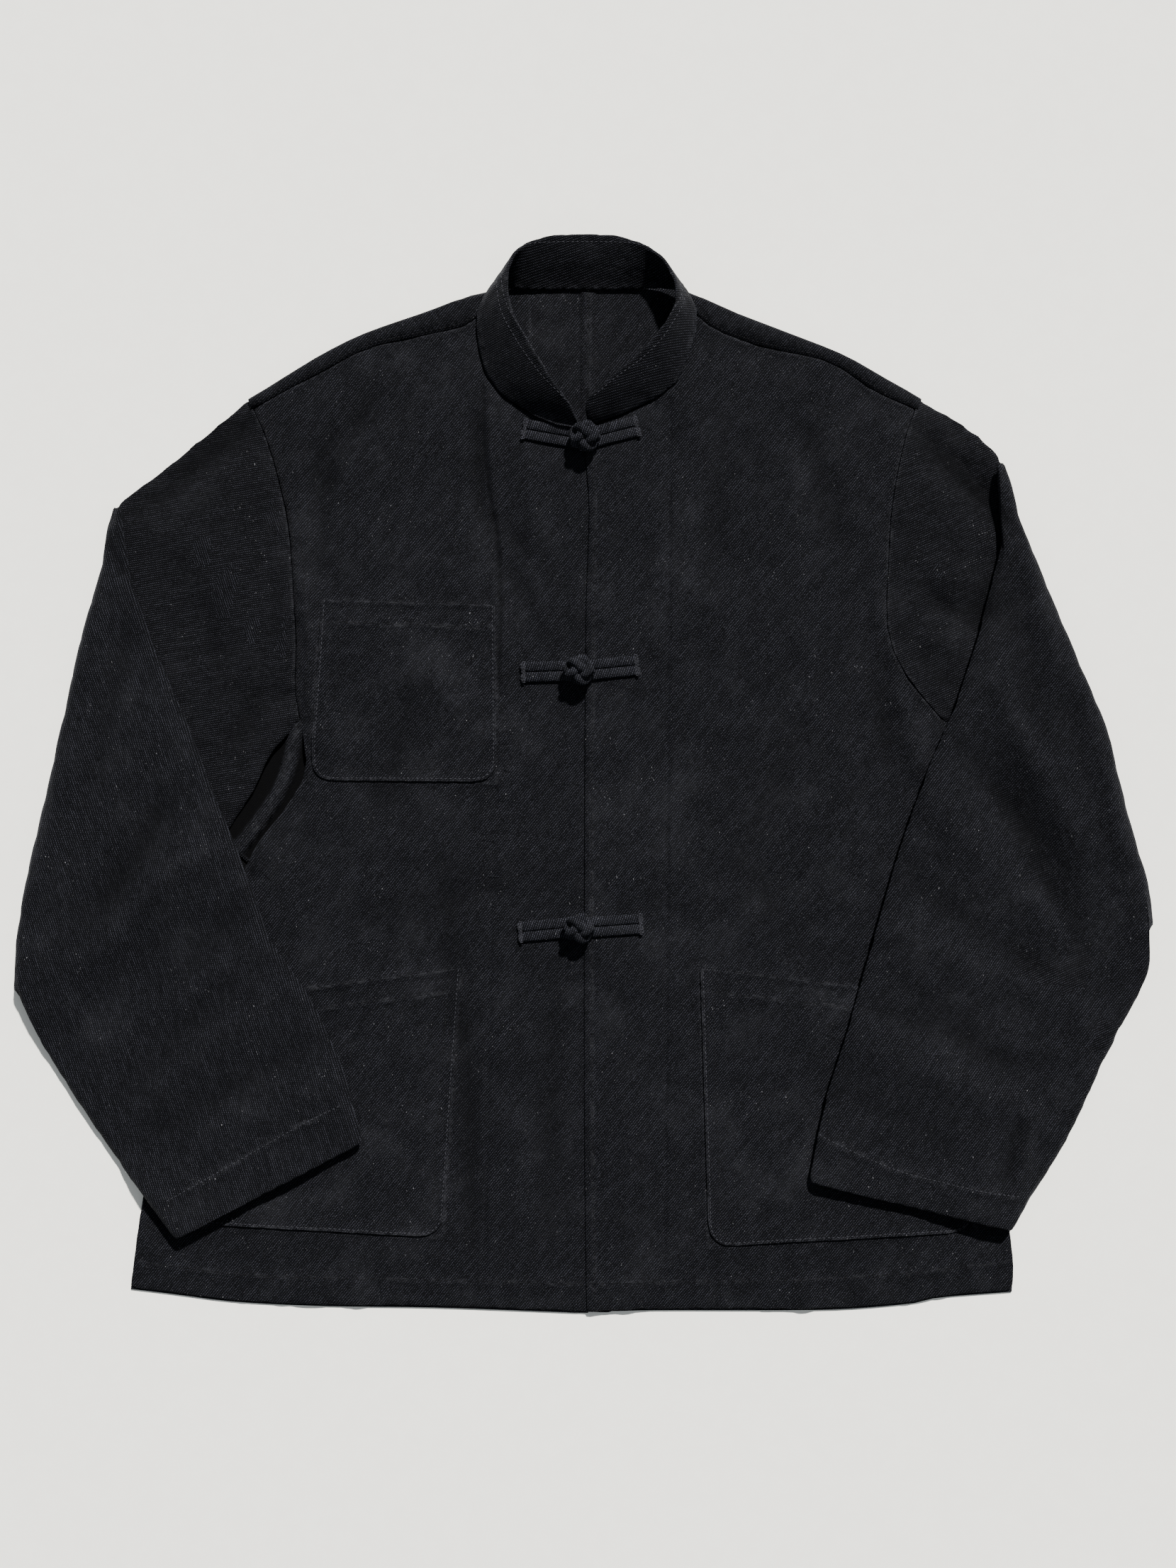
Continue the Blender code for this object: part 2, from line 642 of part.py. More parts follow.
def make_frogs():
    """Three fastenings: tail on the right front, loop on the left front, ball knot over both."""
    for number, (tx, ty, kx, ky, lx, ly) in enumerate(FROGS, 1):
        tail = Vector((tx, ty)) * MM
        knot = Vector((kx, ky)) * MM
        loop = Vector((lx, ly)) * MM
        make_strip(f"frog_tail_{number}", tail, knot + Vector((TAIL_UNDER_KNOT, 0)), body_level)
        make_strip(f"frog_loop_{number}", loop, knot + Vector((LOOP_UNDER_KNOT, 0)), upper_level)
        bm = bmesh.new()
        bmesh.ops.create_uvsphere(bm, u_segments=14, v_segments=9, radius=1)
        bmesh.ops.scale(bm, verts=bm.verts, vec=(KNOT_RADIUS, KNOT_RADIUS, KNOT_HEIGHT / 2))
        seat = upper_level(knot) + CLOTH + 2.5 * SEAM_GAP + CORD_HEIGHT - KNOT_NEST
        bmesh.ops.translate(bm, verts=bm.verts, vec=(knot.x, knot.y, seat + KNOT_HEIGHT / 2))
        finish(bm, f"frog_knot_{number}", FROG_TWILL)


def main():
    """Build the whole jacket."""
    for thing in list(bpy.data.objects):
        bpy.data.objects.remove(thing)
    make_back("back_right", -1, ((CENTRE_BACK, BACK_NECK_LEVEL), (-44, 345), (-58, 342), (-65, 336)),
              RIGHT_SHOULDER_FOLD, RIGHT_SHOULDER_SEAM, RIGHT_ARMHOLE, RIGHT_BACK_SIDE, RIGHT_HEM)
    make_back("back_left", 1, ((CENTRE_BACK, BACK_NECK_LEVEL), (46, 345), (62, 343), (71, 337)),
              LEFT_SHOULDER_FOLD, LEFT_SHOULDER_SEAM, LEFT_ARMHOLE, LEFT_SIDE, LEFT_HEM)
    make_front("front_right",
               (curve(RIGHT_NECK), [Vector((19 * MM, 243 * MM))], curve(RIGHT_FRONT_EDGE)[::-1],
                curve(RIGHT_HEM)[::-1], curve(RIGHT_SIDE)[::-1],
                curve(RIGHT_ARMHOLE, count=ARMHOLE_STEPS)[::-1], curve(RIGHT_SHOULDER_SEAM, count=14)[::-1]),
               body_level, ("chest_pocket", "hip_pocket_right"))
    make_front("front_left",
               (curve(LEFT_NECK), curve(LEFT_FRONT_EDGE)[::-1],
                curve(LEFT_HEM)[::-1], curve(LEFT_SIDE)[::-1],
                curve(LEFT_ARMHOLE, count=ARMHOLE_STEPS)[::-1], curve(LEFT_SHOULDER_SEAM, count=14)[::-1]),
               upper_level, ("hip_pocket_left",))
    make_collar()
    for name, table in SLEEVES.items():
        make_sleeve(name, table)
    make_frogs()


main()
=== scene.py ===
"""Looks of a mandarin collar jacket in black cotton twill, laid flat with its sleeves folded in.

Each cloth solid of the frame is copied, made finer, creased and given a woven finish. Cords, knots
and stitches are modelled on top. Metres, +Z up, the collar towards +Y. Left and right are the wearer's.
"""
import math

import bmesh
import bpy
from mathutils import Matrix, Vector, noise
from mathutils.bvhtree import BVHTree
from mathutils.kdtree import KDTree


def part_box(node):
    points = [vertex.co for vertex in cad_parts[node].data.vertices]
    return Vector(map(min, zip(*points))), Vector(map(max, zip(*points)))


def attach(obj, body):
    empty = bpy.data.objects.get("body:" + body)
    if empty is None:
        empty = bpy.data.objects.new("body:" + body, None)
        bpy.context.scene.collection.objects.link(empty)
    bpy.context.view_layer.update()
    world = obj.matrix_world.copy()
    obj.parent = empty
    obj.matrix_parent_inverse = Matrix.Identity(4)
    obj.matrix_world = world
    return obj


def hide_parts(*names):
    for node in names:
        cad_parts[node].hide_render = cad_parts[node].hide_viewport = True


bl_info = {
    "name": "Mandarin Collar Jacket",
    "version": (1, 0, 0),
    "blender": (4, 5, 0),
    "location": "3D View > Sidebar > Jacket",
    "description": "Dresses the solids of a jacket laid flat with creased twill, stitches and cord knots",
    "category": "Object",
}

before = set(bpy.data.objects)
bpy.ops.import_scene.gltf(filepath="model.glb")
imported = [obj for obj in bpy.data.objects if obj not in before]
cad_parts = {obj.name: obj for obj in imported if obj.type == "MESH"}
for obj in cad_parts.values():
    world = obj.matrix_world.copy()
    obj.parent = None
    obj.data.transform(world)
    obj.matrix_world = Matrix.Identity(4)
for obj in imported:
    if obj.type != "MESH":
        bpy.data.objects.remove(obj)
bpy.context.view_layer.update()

MM = 0.001
# Points of a solid that lie closer than this are one point
WELD = 0.002 * MM
# The photo's width in pixels, the size of one of them on the floor, and the place in its middle
PHOTO_WIDTH = 1659
PHOTO_SCALE = 0.5 * MM
PHOTO_CENTRE = (3.2 * MM, -7.5 * MM)

# Seams that both the solids and the stitching follow, columns x and y in mm
RIGHT_ARMHOLE = ((-232, 256), (-222, 233), (-214, 205), (-207, 172), (-204, 130), (-202, 90),
                 (-203, 60), (-199, 37))
LEFT_ARMHOLE = ((233, 256), (226, 235), (217, 189), (214, 137), (213, 108), (218, 85), (230, 64),
                (252, 38))
RIGHT_SHOULDER = ((-74, 321), (-88, 313), (-125, 305), (-153, 298), (-188, 280), (-211, 268),
                  (-232, 256))
LEFT_SHOULDER = ((79, 323), (92, 312), (118, 302), (147, 295), (175, 288), (204, 269), (233, 256))
RIGHT_FACING = ((-70, 270), (-70, 246), (-69, 226), (-66, 196), (-61, 166), (-58, 121), (-60, 60),
                (-64, -60), (-67, -200), (-70, -355))
# The pressed line beside the opening, where the cloth is painted darkest as shade
PRESSED_LINE = ((-70, 275), (-70, 246), (-69, 226), (-66, 196), (-61, 166), (-58, 121), (-60, 60))
LEFT_FACING = ((61, 262), (60, 150), (59, 0), (58, -200), (57, -357))
RIGHT_HEM_LINE = ((-312, -344), (-246, -352), (-186, -355), (-91, -357), (18, -360))
LEFT_HEM_LINE = ((5, -358), (53, -358), (143, -357), (213, -353), (300, -344))
LEFT_EDGE_LINE = ((8, 238), (8, 150), (6, 0), (6, -200), (8, -372))
RIGHT_CUFF_LINE = ((-170, -232), (-200, -247), (-240, -270), (-272, -288), (-292, -299))
LEFT_CUFF_LINE = ((164, -252), (186, -263), (216, -276), (240, -283), (280, -292), (306, -296))
FACING_HEM_RIGHT = ((-69, -369), (-30, -371), (0, -373))
FACING_HEM_LEFT = ((6, -371), (30, -371), (57, -369))

# Patch pockets: corners in mm, clockwise from the top left
POCKETS = {
    "chest_pocket": ((-184, 122), (-62, 118), (-61, -6), (-192, -5)),
    "hip_pocket_right": ((-250, -158), (-86, -137), (-99, -326), (-286, -316)),
    "hip_pocket_left": ((82, -137), (262, -158), (276, -322), (88, -333)),
}
# Depth of the turned top band, distances of the two rows from the edge, and corner radius, in mm
POCKET_BAND = 15.5
POCKET_ROWS = (2.0, 8.5)
POCKET_CORNER = 16

# Every crease stands this many times as high as its table says, to read in the soft fill light
CREASE_GAIN = 2.1

# Creases in the body, columns from x, from y, to x, to y, half width and height in mm
BODY_CREASES = (
    (-150, 262, -176, 205, 8, -1.3),
    (-176, 205, -192, 140, 7, -1.9),
    (-60, 150, -34, 116, 7, -1.0),
    (-44, 236, -30, 150, 9, 0.9),
    (-118, 60, -150, -40, 10, -0.8),
    (-96, -60, -90, -180, 9, -0.8),
    (-84, -180, -78, -330, 7, -1.2),
    (206, 100, 216, 64, 6, -1.4),
    (160, 236, 176, 170, 9, -0.9),
    (96, 226, 90, 130, 8, -0.7),
    (150, 30, 120, -40, 10, -0.7),
    (-120, -250, -150, -300, 8, 0.9),
    (110, -230, 150, -290, 8, 0.9),
    (-195, 135, -190, 30, 4.5, 2.0),
    (-202, 215, -196, 150, 6, 1.2),
    (-66, 250, -64, 185, 4.5, 1.7),
    (-76, 250, -72, 180, 5, -1.1),
    (-57, 160, -57, 70, 5, 0.9),
    (53, 240, 52, 60, 6, 0.7),
    (-192, 24, -230, -64, 7, 3.6),
    (206, 130, 208, 90, 5, 1.5),
    (-160, 236, -186, 168, 7, 1.3),
    (-176, 240, -197, 190, 6, -0.9),
    (-188, 160, -199, 110, 6, 1.1),
    (-54, 178, -39, 145, 6, -0.8),
    (-39, 145, -31, 115, 6, 0.8),
    (-31, 115, -16, 96, 5, 0.7),
    (-70, 240, -61, 150, 5, -0.6),
    (-64, 150, -58, 90, 6, 0.7),
    (-196, 60, -180, 20, 8, 0.9),
    (-190, -20, -120, -60, 12, 0.7),
    (-150, -100, -60, -80, 12, -0.6),
    (-60, -160, -46, -300, 8, 0.8),
    (-20, -140, -26, -320, 9, -0.7),
    (214, 82, 224, 46, 6, 1.6),
    (224, 46, 239, 0, 7, 1.8),
    (206, 60, 214, 10, 6, -1.2),
    (120, 250, 150, 200, 10, 0.8),
    (200, 230, 190, 180, 8, 0.9),
    (90, 120, 110, 40, 12, 0.7),
    (180, 20, 150, -60, 10, 0.8),
    (110, -60, 150, -120, 10, -0.7),
    (66, -180, 60, -330, 8, 0.8),
    (36, -150, 40, -320, 9, 0.7),
    (75, 250, 64, 180, 6, 0.8),
    (150, -340, 156, -372, 7, 1.0),
    (-150, -340, -158, -370, 7, 1.0),
    (-236, -345, -240, -368, 7, 0.9),
    (232, -340, 240, -368, 7, 0.9),
)

# Creases in the top of the sleeves, same columns
SLEEVE_CREASES = (
    (-240, 246, -290, 214, 8, -1.8),
    (-332, 161, -320, 138, 3, -2.4),
    (-366, 168, -350, 184, 6, -1.8),
    (-226, 60, -250, 10, 8, -1.5),
    (-214, 130, -222, 90, 6, -1.3),
    (-256, 40, -290, -10, 8, 1.4),
    (-300, -30, -350, -110, 10, -1.3),
    (-250, -150, -320, -220, 9, -1.2),
    (262, 214, 300, 168, 8, -1.9),
    (290, 150, 282, 110, 7, -1.6),
    (262, 132, 296, 100, 6, -1.6),
    (330, 60, 360, -20, 9, -1.3),
    (300, -30, 350, -120, 10, -1.3),
    (230, -150, 300, -210, 9, -1.2),
    (-210, 150, -208, 60, 4, 2.0),
    (-222, 210, -212, 160, 6, 1.6),
    (-208, 40, -236, -36, 7, 2.6),
    (-326, 178, -300, 196, 6, -1.6),
    (-300, 192, -240, 240, 7, -2.0),
    (-250, 210, -268, 150, 7, 1.2),
    (-232, 180, -258, 110, 8, 1.3),
    (-226, 120, -240, 70, 6, 1.2),
    (-268, 120, -250, 60, 7, -1.2),
    (-214, 100, -222, 40, 6, 1.0),
    (-336, 130, -352, 60, 8, 1.4),
    (-318, 100, -345, -10, 8, -1.4),
    (-352, 20, -388, -90, 9, 1.5),
    (-300, 40, -330, -50, 8, 1.4),
    (-276, 0, -330, -90, 8, -1.5),
    (-262, -50, -350, -140, 9, 1.8),
    (-240, -90, -300, -170, 8, -1.5),
    (-222, -120, -340, -190, 9, 1.6),
    (-200, -150, -270, -200, 8, 1.2),
    (-190, -190, -300, -250, 10, -1.2),
    (-176, -212, -230, -240, 7, 1.0),
    (-380, -120, -340, -210, 8, 1.2),
    (-240, -240, -290, -290, 8, 1.0),
    (236, 240, 262, 214, 7, -1.4),
    (244, 230, 284, 196, 6, -2.0),
    (240, 150, 262, 124, 7, 1.4),
    (248, 124, 276, 104, 6, -2.2),
    (236, 100, 266, 84, 5, 1.4),
    (232, 84, 258, 64, 5, -1.2),
    (310, 150, 330, 60, 8, 1.5),
    (300, 120, 320, 20, 8, -1.4),
    (284, 60, 340, -40, 9, 1.6),
    (262, 20, 340, -70, 8, -1.5),
    (240, -20, 330, -110, 9, 1.7),
    (350, 30, 380, -60, 8, 1.3),
    (222, -70, 320, -140, 8, -1.5),
    (210, -110, 350, -170, 9, 1.6),
    (196, -160, 300, -200, 8, -1.2),
    (186, -190, 320, -240, 9, 1.4),
    (174, -220, 250, -255, 7, -1.0),
    (300, -230, 330, -260, 8, 1.0),
    (304, -236, 295, -286, 4.5, -2.6),
    (314, -240, 306, -276, 6, 1.8),
    (290, -190, 330, -196, 7, 1.2),
)


class JacketCloth(bpy.types.PropertyGroup):
    """Colours and weave of the cotton twill."""

    dark: bpy.props.FloatVectorProperty(
        name="Cloth", description="Colour of the black twill", subtype="COLOR", size=3,
        default=(0.0009, 0.0010, 0.0014), min=0, max=1)
    rib: bpy.props.FloatVectorProperty(
        name="Ribs", description="Colour of the faded tops of the twill ribs", subtype="COLOR", size=3,
        default=(0.0262, 0.0270, 0.0350), min=0, max=1)
    worn: bpy.props.FloatVectorProperty(
        name="Worn cloth", description="Colour where edges and seams have rubbed pale", subtype="COLOR",
        size=3,
        default=(0.050, 0.051, 0.058), min=0, max=1)
    lint: bpy.props.FloatVectorProperty(
        name="Flecks", description="Colour of undyed flecks and lint", subtype="COLOR", size=3,
        default=(0.20, 0.20, 0.21), min=0, max=1)
    wale: bpy.props.FloatProperty(
        name="Wale spacing", description="Distance from one diagonal rib to the next",
        subtype="DISTANCE", default=1.5 * MM, min=0.4 * MM)


class JacketSewing(bpy.types.PropertyGroup):
    """Sizes of the stitches."""

    length: bpy.props.FloatProperty(
        name="Stitch length", description="Length of thread that shows for one stitch",
        subtype="DISTANCE", default=2.5 * MM, min=0.5 * MM)
    pitch: bpy.props.FloatProperty(
        name="Stitch spacing", description="Distance from one stitch to the next",
        subtype="DISTANCE", default=3.3 * MM, min=0.6 * MM)
    thread: bpy.props.FloatProperty(
        name="Thread", description="Thickness of the thread", subtype="DISTANCE", default=0.5 * MM,
        min=0.1 * MM)
    colour: bpy.props.FloatVectorProperty(
        name="Thread colour", description="Colour of the sewing thread", subtype="COLOR", size=3,
        default=(0.024, 0.0243, 0.029), min=0, max=1)


class JacketStage(bpy.types.PropertyGroup):
    """Floor, lights and camera."""

    height: bpy.props.FloatProperty(
        name="Camera height", description="Height of the camera above the floor",
        subtype="DISTANCE", default=1.5, min=0.5)
    floor: bpy.props.FloatVectorProperty(
        name="Floor", description="Colour of the pale floor", subtype="COLOR", size=3,
        default=(0.97, 0.965, 0.90), min=0, max=1)
    sun: bpy.props.FloatProperty(name="Key light", description="Strength of the key light", default=9.8,
                                 min=0)
    sky: bpy.props.FloatProperty(name="Fill light", description="Strength of the fill light",
                                 default=0.38, min=0)


def smooth(value):
    """Soft step from 0 to 1."""
    value = min(max(value, 0.0), 1.0)
    return value * value * (3 - 2 * value)


def curve(table, step=2 * MM):
    """Even points, in metres, along a smooth curve through a table of places in mm."""
    knots = [Vector((x, y)) * MM for x, y in table]
    ends = [2 * knots[0] - knots[1]] + knots + [2 * knots[-1] - knots[-2]]
    fine = []
    for a, b, c, d in zip(ends, ends[1:], ends[2:], ends[3:]):
        for part in range(16):
            t = part / 16
            fine.append(0.5 * ((2 * b) + (c - a) * t + (2 * a - 5 * b + 4 * c - d) * t * t
                               + (3 * b - a - 3 * c + d) * t ** 3))
    fine.append(knots[-1])
    points = [fine[0]]
    room = step
    for p, q in zip(fine, fine[1:]):
        gap = (q - p).length
        walked = 0.0
        while gap - walked > room:
            walked += room
            points.append(p.lerp(q, walked / gap))
            room = step
        room -= gap - walked
    return points


def shifted(points, distance):
    """A line moved to its left, looking along it."""
    moved = []
    for k, point in enumerate(points):
        run = (points[min(k + 1, len(points) - 1)] - points[max(k - 1, 0)]).normalized()
        moved.append(point + Vector((-run.y, run.x)) * distance)
    return moved


def crease_height(creases, x, y):
    """Height of the soft troughs and ridges of a table at a place, in metres."""
    height = 0.0
    for x1, y1, x2, y2, half_width, tall in creases:
        along_x = x2 - x1
        along_y = y2 - y1
        share = ((x - x1) * along_x + (y - y1) * along_y) / (along_x ** 2 + along_y ** 2)
        share = min(max(share, 0), 1)
        away = math.hypot(x - x1 - along_x * share, y - y1 - along_y * share) / half_width
        if away < 3:
            swell = 0.55 + 0.45 * math.sin(math.pi * (0.15 + 0.7 * share))
            height += tall * math.exp(-away * away) * swell
    return height * MM


def rumple(x, y, scale, seed):
    """Uneven waves of about the given size in metres, from -1 to 1."""
    return noise.noise(Vector((x / scale, y / scale, seed)))


# Shader node groups

def new_group(name, inputs, outputs):
    """An empty shader group with named sockets, and its two end nodes."""
    group = bpy.data.node_groups.new(name, "ShaderNodeTree")
    for title, kind, default in inputs:
        socket = group.interface.new_socket(title, in_out="INPUT", socket_type=kind)
        if default is not None:
            socket.default_value = default
    for title, kind in outputs:
        group.interface.new_socket(title, in_out="OUTPUT", socket_type=kind)
    return group, group.nodes.new("NodeGroupInput"), group.nodes.new("NodeGroupOutput")


def math_node(tree, operation, first, second=None, third=None):
    """A Math node fed by sockets or numbers; gives its output socket."""
    node = tree.nodes.new("ShaderNodeMath")
    node.operation = operation
    for slot, value in enumerate((first, second, third)):
        if value is None:
            continue
        if isinstance(value, (int, float)):
            node.inputs[slot].default_value = value
        else:
            tree.links.new(value, node.inputs[slot])
    return node.outputs[0]


def noise_node(tree, vector, scale, detail=3.0, roughness=0.55):
    """A Noise Texture on a vector; gives its value from about 0 to 1."""
    node = tree.nodes.new("ShaderNodeTexNoise")
    node.inputs["Scale"].default_value = scale
    node.inputs["Detail"].default_value = detail
    node.inputs["Roughness"].default_value = roughness
    tree.links.new(vector, node.inputs["Vector"])
    return node.outputs["Fac"]


def range_node(tree, value, low, high, to_low=0.0, to_high=1.0):
    """A smooth Map Range; gives its output socket."""
    node = tree.nodes.new("ShaderNodeMapRange")
    node.interpolation_type = "SMOOTHSTEP"
    node.inputs["From Min"].default_value = low
    node.inputs["From Max"].default_value = high
    node.inputs["To Min"].default_value = to_low
    node.inputs["To Max"].default_value = to_high
    tree.links.new(value, node.inputs["Value"])
    return node.outputs["Result"]


def mapped(tree, vector, turn=0.0, stretch=(1, 1, 1)):
    """A vector turned about Z and stretched."""
    node = tree.nodes.new("ShaderNodeMapping")
    node.inputs["Rotation"].default_value = (0, 0, turn)
    node.inputs["Scale"].default_value = stretch
    tree.links.new(vector, node.inputs["Vector"])
    return node.outputs["Vector"]


# A Wave Texture of scale 1 repeats itself after this length
WAVE_PERIOD = 0.314159


def twill_group():
    """Diagonal ribs broken into short floats by the weft, with thick and thin yarns."""
    group, start, end = new_group(
        "Twill weave",
        [("Vector", "NodeSocketVector", None), ("Wale", "NodeSocketFloat", 1.5 * MM)],
        [("Height", "NodeSocketFloat"), ("Tone", "NodeSocketFloat")])
    vector = start.outputs["Vector"]
    scale = math_node(group, "DIVIDE", WAVE_PERIOD, start.outputs["Wale"])
    ribs = group.nodes.new("ShaderNodeTexWave")
    ribs.inputs["Distortion"].default_value = 1.3
    ribs.inputs["Detail"].default_value = 2.0
    ribs.inputs["Detail Scale"].default_value = 0.8
    group.links.new(vector, ribs.inputs["Vector"])
    group.links.new(scale, ribs.inputs["Scale"])
    weft = group.nodes.new("ShaderNodeTexWave")
    weft.inputs["Distortion"].default_value = 1.6
    weft.inputs["Detail Scale"].default_value = 1.2
    group.links.new(mapped(group, vector, math.radians(58)), weft.inputs["Vector"])
    group.links.new(math_node(group, "MULTIPLY", scale, 1.3), weft.inputs["Scale"])
    drawn_out = mapped(group, vector, 0.0, (1.0, 0.16, 1.0))
    slubs = range_node(group, noise_node(group, drawn_out, 420.0, 2.0), 0.35, 0.75)
    grain = noise_node(group, vector, 1300.0, 3.0, 0.7)
    floats = math_node(group, "MULTIPLY", math_node(group, "POWER", ribs.outputs["Fac"], 1.4),
                       math_node(group, "MULTIPLY_ADD", weft.outputs["Fac"], 0.75, 0.25))
    rough = range_node(group, grain, 0.34, 0.68, 0.30, 1.35)
    tone = math_node(group, "MULTIPLY", floats, rough)
    tone = math_node(group, "MULTIPLY", tone, math_node(group, "MULTIPLY_ADD", slubs, 0.55, 0.8))
    group.links.new(math_node(group, "MULTIPLY_ADD", grain, 0.3, floats), end.inputs["Height"])
    group.links.new(tone, end.inputs["Tone"])
    return group


def wear_group():
    """Soft rumples, puckers beside seams, rubbed paleness, dust and white flecks."""
    group, start, end = new_group(
        "Cloth wear",
        [("Vector", "NodeSocketVector", None), ("Seam", "NodeSocketFloat", 0.0)],
        [("Rumple", "NodeSocketFloat"), ("Pale", "NodeSocketFloat"), ("Flecks", "NodeSocketFloat")])
    vector = start.outputs["Vector"]
    seam = start.outputs["Seam"]
    broad = noise_node(group, vector, 13.0, 2.0, 0.5)
    middle = noise_node(group, mapped(group, vector, 0.5, (1.0, 0.55, 1.0)), 46.0, 4.0, 0.66)
    pucker = noise_node(group, vector, 95.0, 2.0, 0.6)
    patches = range_node(group, noise_node(group, vector, 8.0, 2.0, 0.5), 0.40, 0.62, 0.25, 1.0)
    crinkles = math_node(group, "MULTIPLY", middle, math_node(group, "MULTIPLY", patches, 0.85))
    rumples = math_node(group, "MULTIPLY_ADD", broad, 0.55, crinkles)
    rumples = math_node(group, "MULTIPLY_ADD", math_node(group, "MULTIPLY", pucker, seam), 0.42, rumples)
    group.links.new(rumples, end.inputs["Rumple"])
    rubbed = math_node(group, "MULTIPLY", range_node(group, seam, 0.45, 0.95),
                       range_node(group, noise_node(group, vector, 190.0, 3.0, 0.7), 0.42, 0.70))
    cloudy = noise_node(group, vector, 22.0, 5.0, 0.7)
    faded = math_node(group, "MULTIPLY", range_node(group, cloudy, 0.45, 0.8), 0.09)
    group.links.new(math_node(group, "MULTIPLY_ADD", rubbed, 0.17, faded), end.inputs["Pale"])
    lint = noise_node(group, mapped(group, vector, 0.7, (1.0, 0.5, 1.0)), 1150.0, 1.0)
    rare = range_node(group, noise_node(group, vector, 37.0, 3.0, 0.7), 0.44, 0.72, 0.08, 1.0)
    specks = math_node(group, "MULTIPLY", range_node(group, lint, 0.735, 0.80), rare)
    group.links.new(specks, end.inputs["Flecks"])
    return group


def mixed(tree, share, first, second):
    """A colour mix; each colour is a socket or an RGB value."""
    node = tree.nodes.new("ShaderNodeMix")
    node.data_type = "RGBA"
    tree.links.new(share, node.inputs["Factor"])
    for name, value in (("A", first), ("B", second)):
        socket = next(item for item in node.inputs if item.name == name and item.type == "RGBA")
        if isinstance(value, bpy.types.NodeSocket):
            tree.links.new(value, socket)
        else:
            socket.default_value = (*value, 1)
    return next(item for item in node.outputs if item.type == "RGBA")


GROUPS = {}


def shared_group(name, maker):
    """Each group is built once."""
    if name not in GROUPS:
        GROUPS[name] = maker()
    return GROUPS[name]


def twill_material(name, grain, dark_gain=1.0, pale_gain=1.0, relief=1.0, painted_underarm_shade=False):
    """Near-black cotton twill whose ribs run at an angle, in degrees from the Y axis."""
    cloth = bpy.context.scene.jacket_cloth
    material = bpy.data.materials.new(name)
    material.use_nodes = True
    tree = material.node_tree
    shader = tree.nodes["Principled BSDF"]
    place = tree.nodes.new("ShaderNodeTexCoord").outputs["Object"]
    seam = tree.nodes.new("ShaderNodeAttribute")
    seam.attribute_name = "seam"
    weave = tree.nodes.new("ShaderNodeGroup")
    weave.node_tree = shared_group("weave", twill_group)
    weave.inputs["Wale"].default_value = cloth.wale
    tree.links.new(mapped(tree, place, math.radians(grain)), weave.inputs["Vector"])
    wear = tree.nodes.new("ShaderNodeGroup")
    wear.node_tree = shared_group("wear", wear_group)
    tree.links.new(place, wear.inputs["Vector"])
    tree.links.new(seam.outputs["Fac"], wear.inputs["Seam"])
    dark = [value * dark_gain for value in cloth.dark]
    lifted = [value * dark_gain for value in cloth.rib]
    base = mixed(tree, range_node(tree, weave.outputs["Tone"], 0.05, 1.0), dark, lifted)
    worn = [value * pale_gain for value in cloth.worn]
    pale = mixed(tree, wear.outputs["Pale"], base, worn)
    flecked = mixed(tree, wear.outputs["Flecks"], pale, list(cloth.lint))
    # Painted shade: troughs, the pressed line and the armhole groove are mixed towards a darker cloth
    # colour, as the shade that falls in them
    trough = tree.nodes.new("ShaderNodeAttribute")
    trough.attribute_name = "trough"
    painted_crease_shade = math_node(tree, "MULTIPLY", trough.outputs["Fac"], 0.66)
    flecked = mixed(tree, painted_crease_shade, flecked, [value * 0.8 for value in cloth.dark])
    # Painted shade: the back's cloth beside the felled seam under the arm is mixed to near black, as the
    # shade that falls in that fold
    if painted_underarm_shade:
        underarm_shade_node = tree.nodes.new("ShaderNodeAttribute")
        underarm_shade_node.attribute_name = "painted_underarm_shade"
        flecked = mixed(tree, underarm_shade_node.outputs["Fac"], flecked, (0.0004, 0.0004, 0.0006))
    tree.links.new(flecked, shader.inputs["Base Color"])
    tree.links.new(range_node(tree, weave.outputs["Tone"], 0.0, 1.3, 0.92, 0.74),
                   shader.inputs["Roughness"])
    coarse = tree.nodes.new("ShaderNodeBump")
    coarse.inputs["Strength"].default_value = 0.75
    coarse.inputs["Distance"].default_value = 6.4 * MM * relief
    tree.links.new(wear.outputs["Rumple"], coarse.inputs["Height"])
    fine = tree.nodes.new("ShaderNodeBump")
    fine.inputs["Strength"].default_value = 0.8
    fine.inputs["Distance"].default_value = 0.32 * MM
    tree.links.new(weave.outputs["Height"], fine.inputs["Height"])
    tree.links.new(coarse.outputs["Normal"], fine.inputs["Normal"])
    tree.links.new(fine.outputs["Normal"], shader.inputs["Normal"])
    shader.inputs["Sheen Weight"].default_value = 0.025
    shader.inputs["Sheen Roughness"].default_value = 0.45
    shader.inputs["Sheen Tint"].default_value = (0.78, 0.82, 1.0, 1)
    shader.inputs["Specular IOR Level"].default_value = 0.07
    return material


def thread_material(name, colour):
    """Waxed sewing thread with a twisted surface."""
    material = bpy.data.materials.new(name)
    material.use_nodes = True
    tree = material.node_tree
    shader = tree.nodes["Principled BSDF"]
    place = tree.nodes.new("ShaderNodeTexCoord").outputs["Object"]
    fibres = noise_node(tree, place, 900.0, 2.0)
    pale = [value * 1.9 for value in colour]
    tree.links.new(mixed(tree, range_node(tree, fibres, 0.3, 0.7), list(colour), pale),
                   shader.inputs["Base Color"])
    bump = tree.nodes.new("ShaderNodeBump")
    bump.inputs["Distance"].default_value = 0.1 * MM
    tree.links.new(fibres, bump.inputs["Height"])
    tree.links.new(bump.outputs["Normal"], shader.inputs["Normal"])
    shader.inputs["Roughness"].default_value = 0.6
    shader.inputs["Specular IOR Level"].default_value = 0.12
    return material


# Cloth meshes

